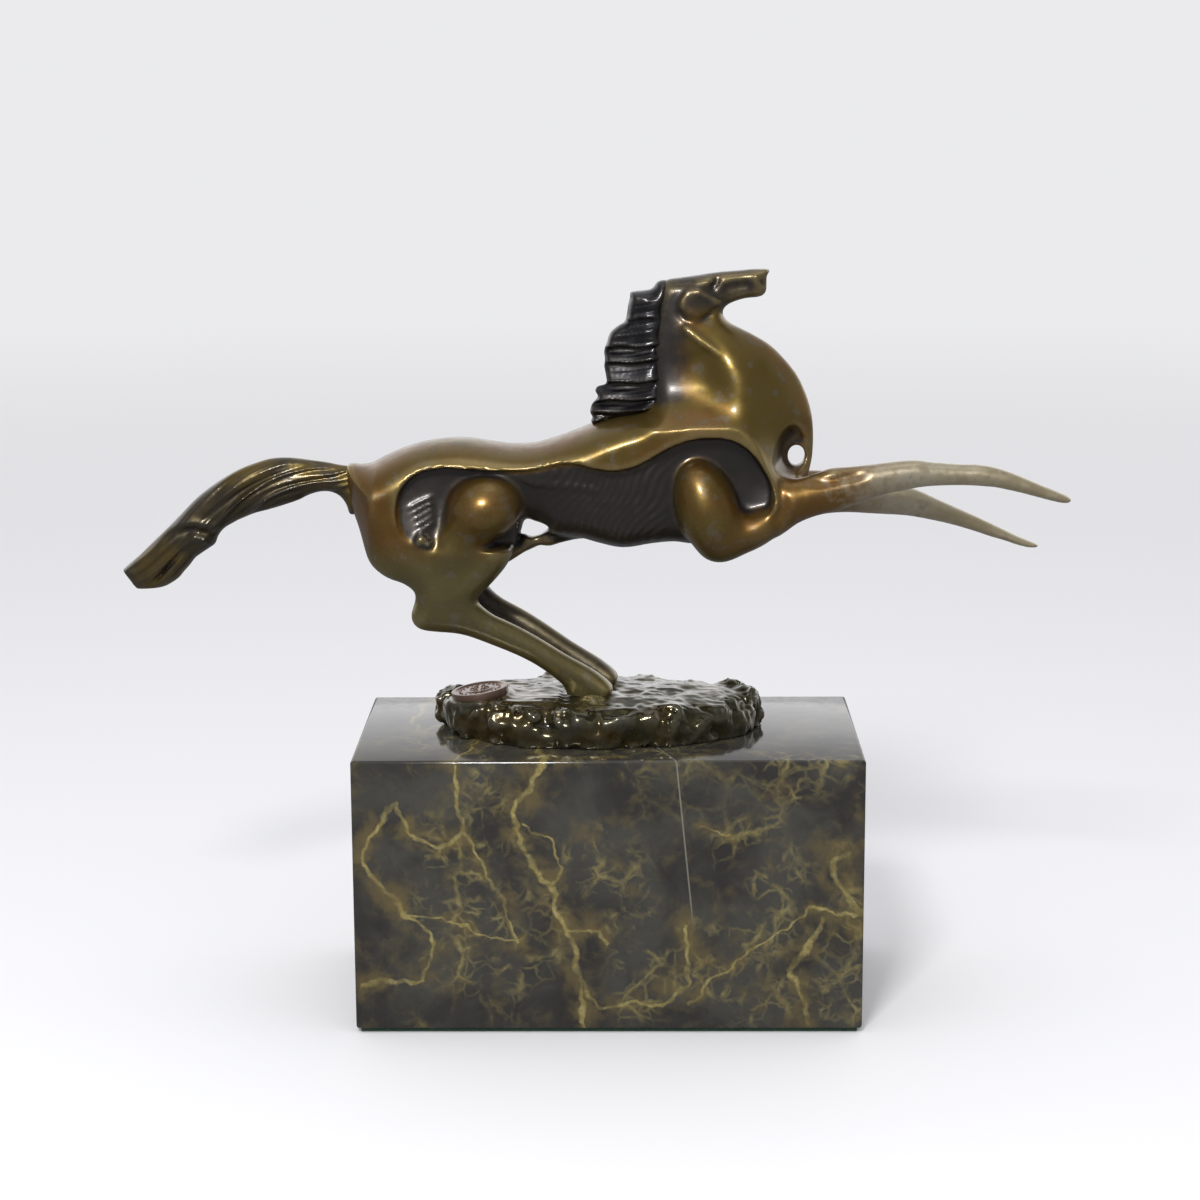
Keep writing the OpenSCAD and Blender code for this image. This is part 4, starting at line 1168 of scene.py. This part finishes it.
class BRONZE_OT_finishes(bpy.types.Operator):
    """Patinas, marble, felt and steel"""
    bl_idname = "bronze.finishes"
    bl_label = "Finishes"

    def execute(self, context):
        look = context.scene.bronze_look
        bronze("brown_patinated_bronze", look, look.body[:], look.warm[:], look.dark[:], look.bright[:],
               leg=look.leg[:], pale=look.pale[:])
        bronze("rough_cast_bronze", look, look.ground[:], look.ground_warm[:], look.dark[:],
               look.ground_bright[:], rough=(0.12, 0.3), worn=0.3)
        bronze("dark_hair_bronze", look, look.hair[:], look.hair[:], look.dark[:], look.hair_bright[:],
               rough=(0.34, 0.46), worn=0.5)
        bronze("olive_hair_bronze", look, look.tail[:], look.body[:], look.dark[:], look.hair_bright[:],
               rough=(0.30, 0.42), recess_darkness=0.9)
        bronze("struck_copper", look, look.copper[:], look.copper[:], look.dark[:], look.copper_bright[:],
               rough=(0.30, 0.42), worn=0.6)
        marble_material(context.scene.marble_look)
        felt_material()
        steel_material()
        return {"FINISHED"}


class BRONZE_OT_block(bpy.types.Operator):
    """Marble block, bevelled, with its two stepped holes for the studs"""
    bl_idname = "bronze.block"
    bl_label = "Marble block"

    def execute(self, context):
        sizes = context.scene.casting_sizes
        block = block_between(MARBLE_LOW, MARBLE_HIGH, "marble_block")
        finish_with(block, "BEVEL", width=sizes.marble_bevel, segments=3, limit_method="ANGLE")
        washer_low, washer_high = box_mm("stud_washers")
        narrow = sizes.stud_hole / MM / 2
        wide = (washer_high[1] - washer_low[1] + 3) / 2
        for x in STUD_X:
            for radius, low, high in ((narrow, -5, MARBLE_TOP + 5), (wide, -5, washer_high[2])):
                bpy.ops.object.select_all(action="DESELECT")
                bpy.ops.mesh.primitive_cylinder_add(vertices=64, radius=radius * MM, depth=(high - low) * MM,
                                                    location=(x * MM, 0, (low + high) / 2 * MM))
                drill = context.object
                bpy.ops.object.transform_apply(location=True, rotation=True, scale=True)
                cut_with(block, drill, "DIFFERENCE")
                drop(drill)
        rounded_look(block)
        settle(block, "marble_base", "polished_dark_marble")
        return {"FINISHED"}


class BRONZE_OT_felt(bpy.types.Operator):
    """Felt sheet under the block, with a slightly soft edge"""
    bl_idname = "bronze.felt"
    bl_label = "Felt"

    def execute(self, context):
        felt = block_between(FELT_LOW, FELT_HIGH, "felt_sheet")
        finish_with(felt, "BEVEL", width=0.35 * MM, segments=2, limit_method="ANGLE")
        rounded_look(felt)
        settle(felt, "felt_pad", "pressed_wool_felt")
        return {"FINISHED"}


class BRONZE_OT_ground(bpy.types.Operator):
    """Rough ground casting that is bolted to the block"""
    bl_idname = "bronze.ground"
    bl_label = "Ground casting"

    def execute(self, context):
        pitch = context.scene.casting_sizes.ground_voxel / MM
        clay = ground_clay(pitch, GROUND_HIGH[0] - GROUND_LOW[0], GROUND_HIGH[1] - GROUND_LOW[1])
        ground = clay.skin("ground", 1)
        rounded_look(ground, 180)
        settle(ground, "ground_casting", "rough_cast_bronze")
        return {"FINISHED"}


class BRONZE_OT_seal(bpy.types.Operator):
    """Round founder's seal with a raised rim, a ring of dots and a rosette"""
    bl_idname = "bronze.seal"
    bl_label = "Seal"

    def execute(self, context):
        middle = (SEAL_LOW + SEAL_HIGH) / 2
        bpy.ops.object.select_all(action="DESELECT")
        bpy.ops.mesh.primitive_cylinder_add(vertices=72, radius=SEAL_R * MM, depth=SEAL_THICK * MM)
        seal = context.object
        seal.name = seal.data.name = "seal"
        bpy.ops.object.mode_set(mode="EDIT")
        bpy.ops.mesh.select_all(action="DESELECT")
        bpy.ops.object.mode_set(mode="OBJECT")
        for face in seal.data.polygons:
            face.select = face.normal.z > 0.9
        bpy.ops.object.mode_set(mode="EDIT")
        for inwards, upwards in ((1.3, 0), (0.35, -0.45), (3.0, 0), (0.3, 0.3)):
            bpy.ops.mesh.inset(thickness=inwards * MM, depth=upwards * MM)
        bpy.ops.object.mode_set(mode="OBJECT")
        finish_with(seal, "BEVEL", width=0.22 * MM, segments=2, limit_method="ANGLE")
        for count, ring, radius in ((22, 6.9, 0.42), (6, 2.5, 0.95)):
            for i in range(count):
                turn = 2 * math.pi * i / count
                at = Vector((ring * math.cos(turn), ring * math.sin(turn), SEAL_THICK / 2 - 0.42)) * MM
                bpy.ops.object.select_all(action="DESELECT")
                bpy.ops.mesh.primitive_uv_sphere_add(segments=12, ring_count=8, radius=radius * MM,
                                                     location=at)
                dot = context.object
                bpy.ops.object.transform_apply(location=True, rotation=True, scale=True)
                cut_with(seal, dot, "UNION")
                drop(dot)
        tilt = Matrix.Rotation(-SEAL_TILT, 4, "Y")
        seal.data.transform(Matrix.Translation(middle * MM) @ tilt)
        rounded_look(seal)
        settle(seal, "foundry_seal", "struck_copper")
        return {"FINISHED"}


class BRONZE_OT_horse(bpy.types.Operator):
    """Horse's body, cut into torso, neck with head, two forelegs and two hind legs"""
    bl_idname = "bronze.horse"
    bl_label = "Horse castings"

    def execute(self, context):
        clay = horse_clay(context.scene.casting_sizes.horse_voxel / MM)
        horse = clay.skin("torso", 2)
        rounded_look(horse, 180)
        whole = copy_of(horse, "whole_horse")
        regions = [
            ("under_the_hooves", block_between((-60, -60, 90), (60, 60, HOOF_Z))),
            ("neck_with_head", wedge_above(NECK_JOINT, 400)),
            ("foreleg_right", block_between((FORELEG_JOINT_X, -60, 100), (200, -KEEL_HALF, 230))),
            ("foreleg_left", block_between((FORELEG_JOINT_X, KEEL_HALF, 100), (200, 60, 230))),
            ("hind_leg_right", block_between((-120, -60, 50), (20, 0, HIP_JOINT_Z))),
            ("hind_leg_left", block_between((-120, 0, 50), (20, 60, HIP_JOINT_Z))),
        ]
        pieces = cast_pieces(horse, regions)
        drop(pieces.pop("under_the_hooves"))
        pieces["torso"] = horse
        # The dark coat layer holds painted shade as well as dark patina
        layers = {**clay.crowded, "dark_patina_and_shade": sunk(clay)}
        for name, piece in pieces.items():
            for layer, values in layers.items():
                mark(piece, layer, values, clay)
            rounded_look(piece, 60)
            finish_with(piece, "DATA_TRANSFER", object=whole, use_loop_data=True,
                        data_types_loops={"CUSTOM_NORMAL"}, loop_mapping="POLYINTERP_NEAREST")
            settle(piece, CAST_NODES[name], "brown_patinated_bronze")
        drop(whole)
        return {"FINISHED"}


class BRONZE_OT_mane(bpy.types.Operator):
    """Mane in stepped locks along the crest"""
    bl_idname = "bronze.mane"
    bl_label = "Mane"

    def execute(self, context):
        pitch = context.scene.casting_sizes.hair_voxel / MM
        mane = mane_clay(pitch).skin("mane", 1)
        rounded_look(mane, 180)
        settle(mane, "mane_casting", "dark_hair_bronze")
        return {"FINISHED"}


class BRONZE_OT_tail(bpy.types.Operator):
    """Tail that streams back, cut off square"""
    bl_idname = "bronze.tail"
    bl_label = "Tail"

    def execute(self, context):
        pitch = context.scene.casting_sizes.hair_voxel / MM
        tail = tail_clay(pitch).skin("tail", 1)
        rounded_look(tail, 60)
        settle(tail, "tail_casting", "olive_hair_bronze")
        return {"FINISHED"}


class BRONZE_OT_fasteners(bpy.types.Operator):
    """Steel finish for the studs, nuts, washers, screws and pins"""
    bl_idname = "bronze.fasteners"
    bl_label = "Fasteners"

    def execute(self, context):
        steel = bpy.data.materials["turned_zinc_steel"]
        for name in FASTENERS:
            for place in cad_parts[name].material_slots:
                place.material = steel
        return {"FINISHED"}


class BRONZE_OT_stage(bpy.types.Operator):
    """Pale floor, soft light and the camera"""
    bl_idname = "bronze.stage"
    bl_label = "Stage"

    def execute(self, context):
        scene, settings = context.scene, context.scene.stage_settings
        bpy.ops.object.select_all(action="DESELECT")
        bpy.ops.mesh.primitive_circle_add(vertices=96, radius=9, fill_type="NGON", location=(0, 0, -0.0001))
        floor = context.object
        floor.name = "floor"
        material, tree, shader, place = fresh_material("pale_floor")
        fill(tree, shader, {"Base Color": settings.floor[:], "Roughness": 0.8, "Specular IOR Level": 0.2})
        rays = add(tree, "ShaderNodeLightPath").outputs
        mirrored = add(tree, "ShaderNodeEmission", {"Color": shade("#77777a"),
                                                    "Strength": settings.dim_floor})
        far = add(tree, "ShaderNodeEmission", {"Color": settings.backdrop[:], "Strength": 1.0})
        away = add(tree, "ShaderNodeVectorMath", (place,), operation="LENGTH")
        away = add(tree, "ShaderNodeMapRange", (away, 0.7, 2.6), **EASED)
        near = add(tree, "ShaderNodeMixShader", (away, shader, far))
        seen = add(tree, "ShaderNodeMixShader", (rays["Is Glossy Ray"], near, mirrored))
        out = next(node for node in tree.nodes if node.type == "OUTPUT_MATERIAL")
        fill(tree, out, {"Surface": seen})
        floor.data.materials.append(material)

        lights = (("key", (-0.20, -0.88, 0.88), 0.2, settings.key),
                  ("overhead", (0.10, 0.10, 1.25), 0.5, settings.top))
        for name, at, side, power in lights:
            bpy.ops.object.light_add(type="AREA", location=at)
            lamp = context.object
            lamp.name = name
            lamp.data.shape = "RECTANGLE"
            lamp.data.size = lamp.data.size_y = side
            lamp.data.energy = power
            aim = Vector((0, 0, 0.17)) - Vector(at)
            lamp.rotation_euler = aim.to_track_quat("-Z", "Y").to_euler()

        # The room: pale all round for the eye and for soft light, but mirrored dim on the near side
        world = bpy.data.worlds.new("pale_room")
        scene.world = world
        world.use_nodes = True
        tree = world.node_tree
        tree.nodes.clear()
        towards = add(tree, "ShaderNodeTexCoord").outputs["Generated"]
        _, ahead, up = add(tree, "ShaderNodeSeparateXYZ", (towards,)).outputs
        rays = add(tree, "ShaderNodeLightPath").outputs
        wall = add(tree, "ShaderNodeMapRange", (ahead, 0.05, 0.75, 0.24, 1.5), **EASED)
        dimmed = add(tree, "ShaderNodeMapRange", (up, 0.25, 0.6, 1.0, 0.45), **EASED)
        wall = add(tree, "ShaderNodeMath", (wall, dimmed), operation="MULTIPLY")
        roof = add(tree, "ShaderNodeMapRange", (up, 0.3, 0.95, 0.0, 0.4), **EASED)
        mirrored = add(tree, "ShaderNodeMath", (wall, roof), operation="MAXIMUM")
        mirrored = add(tree, "ShaderNodeMath", (mirrored, settings.mirrored), operation="MULTIPLY")
        lit = add(tree, "ShaderNodeMapRange", (up, -0.1, 0.9, 0.7, 1.1), **EASED)
        lit = add(tree, "ShaderNodeMath", (lit, settings.room), operation="MULTIPLY")
        strength = add(tree, "ShaderNodeMix", {0: rays["Is Glossy Ray"], 2: lit, 3: mirrored},
                       data_type="FLOAT")
        soft = add(tree, "ShaderNodeBackground", {"Color": shade("#fdfdff"), "Strength": strength})
        plain = add(tree, "ShaderNodeBackground", {"Color": settings.backdrop[:], "Strength": 1.0})
        seen = add(tree, "ShaderNodeMixShader", (rays["Is Camera Ray"], soft, plain))
        add(tree, "ShaderNodeOutputWorld", {"Surface": seen})

        scene.view_settings.view_transform = "Standard"
        scene.view_settings.exposure = 0.0

        data = bpy.data.cameras.new("camera")
        camera = bpy.data.objects.new("camera", data)
        scene.collection.objects.link(camera)
        data.sensor_width = 36
        data.lens = settings.lens
        data.clip_start, data.clip_end = 0.01, 50
        yaw, pitch, roll = (math.radians(a) for a in CAMERA_TURN)
        ahead = Vector((math.sin(yaw) * math.cos(pitch), math.cos(yaw) * math.cos(pitch), -math.sin(pitch)))
        right = ahead.cross(Vector((0, 0, 1))).normalized()
        up = right.cross(ahead)
        c, s = math.cos(roll), math.sin(roll)
        right, up = c * right + s * up, c * up - s * right
        turned = Matrix((right, up, -ahead)).transposed().to_4x4()
        turned.translation = Vector(CAMERA_PLACE)
        camera.matrix_world = turned
        scene.camera = camera
        return {"FINISHED"}


class BRONZE_PT_panel(bpy.types.Panel):
    bl_label = "Galloping Horse Bronze"
    bl_idname = "BRONZE_PT_panel"
    bl_space_type = "VIEW_3D"
    bl_region_type = "UI"
    bl_category = "Bronze"

    def draw(self, context):
        layout = self.layout
        for operator in OPERATORS:
            layout.operator(operator.bl_idname)
        for group in (context.scene.casting_sizes, context.scene.bronze_look, context.scene.marble_look,
                      context.scene.stage_settings):
            box = layout.box()
            for name in group.bl_rna.properties.keys():
                if name not in ("rna_type", "name"):
                    box.prop(group, name)


OPERATORS = (
    BRONZE_OT_finishes, BRONZE_OT_block, BRONZE_OT_felt, BRONZE_OT_ground, BRONZE_OT_seal, BRONZE_OT_horse,
    BRONZE_OT_mane, BRONZE_OT_tail, BRONZE_OT_fasteners, BRONZE_OT_stage,
)
GROUPS = {"casting_sizes": CastingSizes, "bronze_look": BronzeLook, "marble_look": MarbleLook,
          "stage_settings": StageSettings}


def register():
    for kind in (*GROUPS.values(), *OPERATORS, BRONZE_PT_panel):
        bpy.utils.register_class(kind)
    for name, kind in GROUPS.items():
        setattr(bpy.types.Scene, name, PointerProperty(type=kind))


def unregister():
    for name in GROUPS:
        delattr(bpy.types.Scene, name)
    for kind in reversed((*GROUPS.values(), *OPERATORS, BRONZE_PT_panel)):
        bpy.utils.unregister_class(kind)


def main():
    register()
    for operator in OPERATORS:
        group, name = operator.bl_idname.split(".")
        getattr(getattr(bpy.ops, group), name)()


if __name__ == "__main__":
    main()
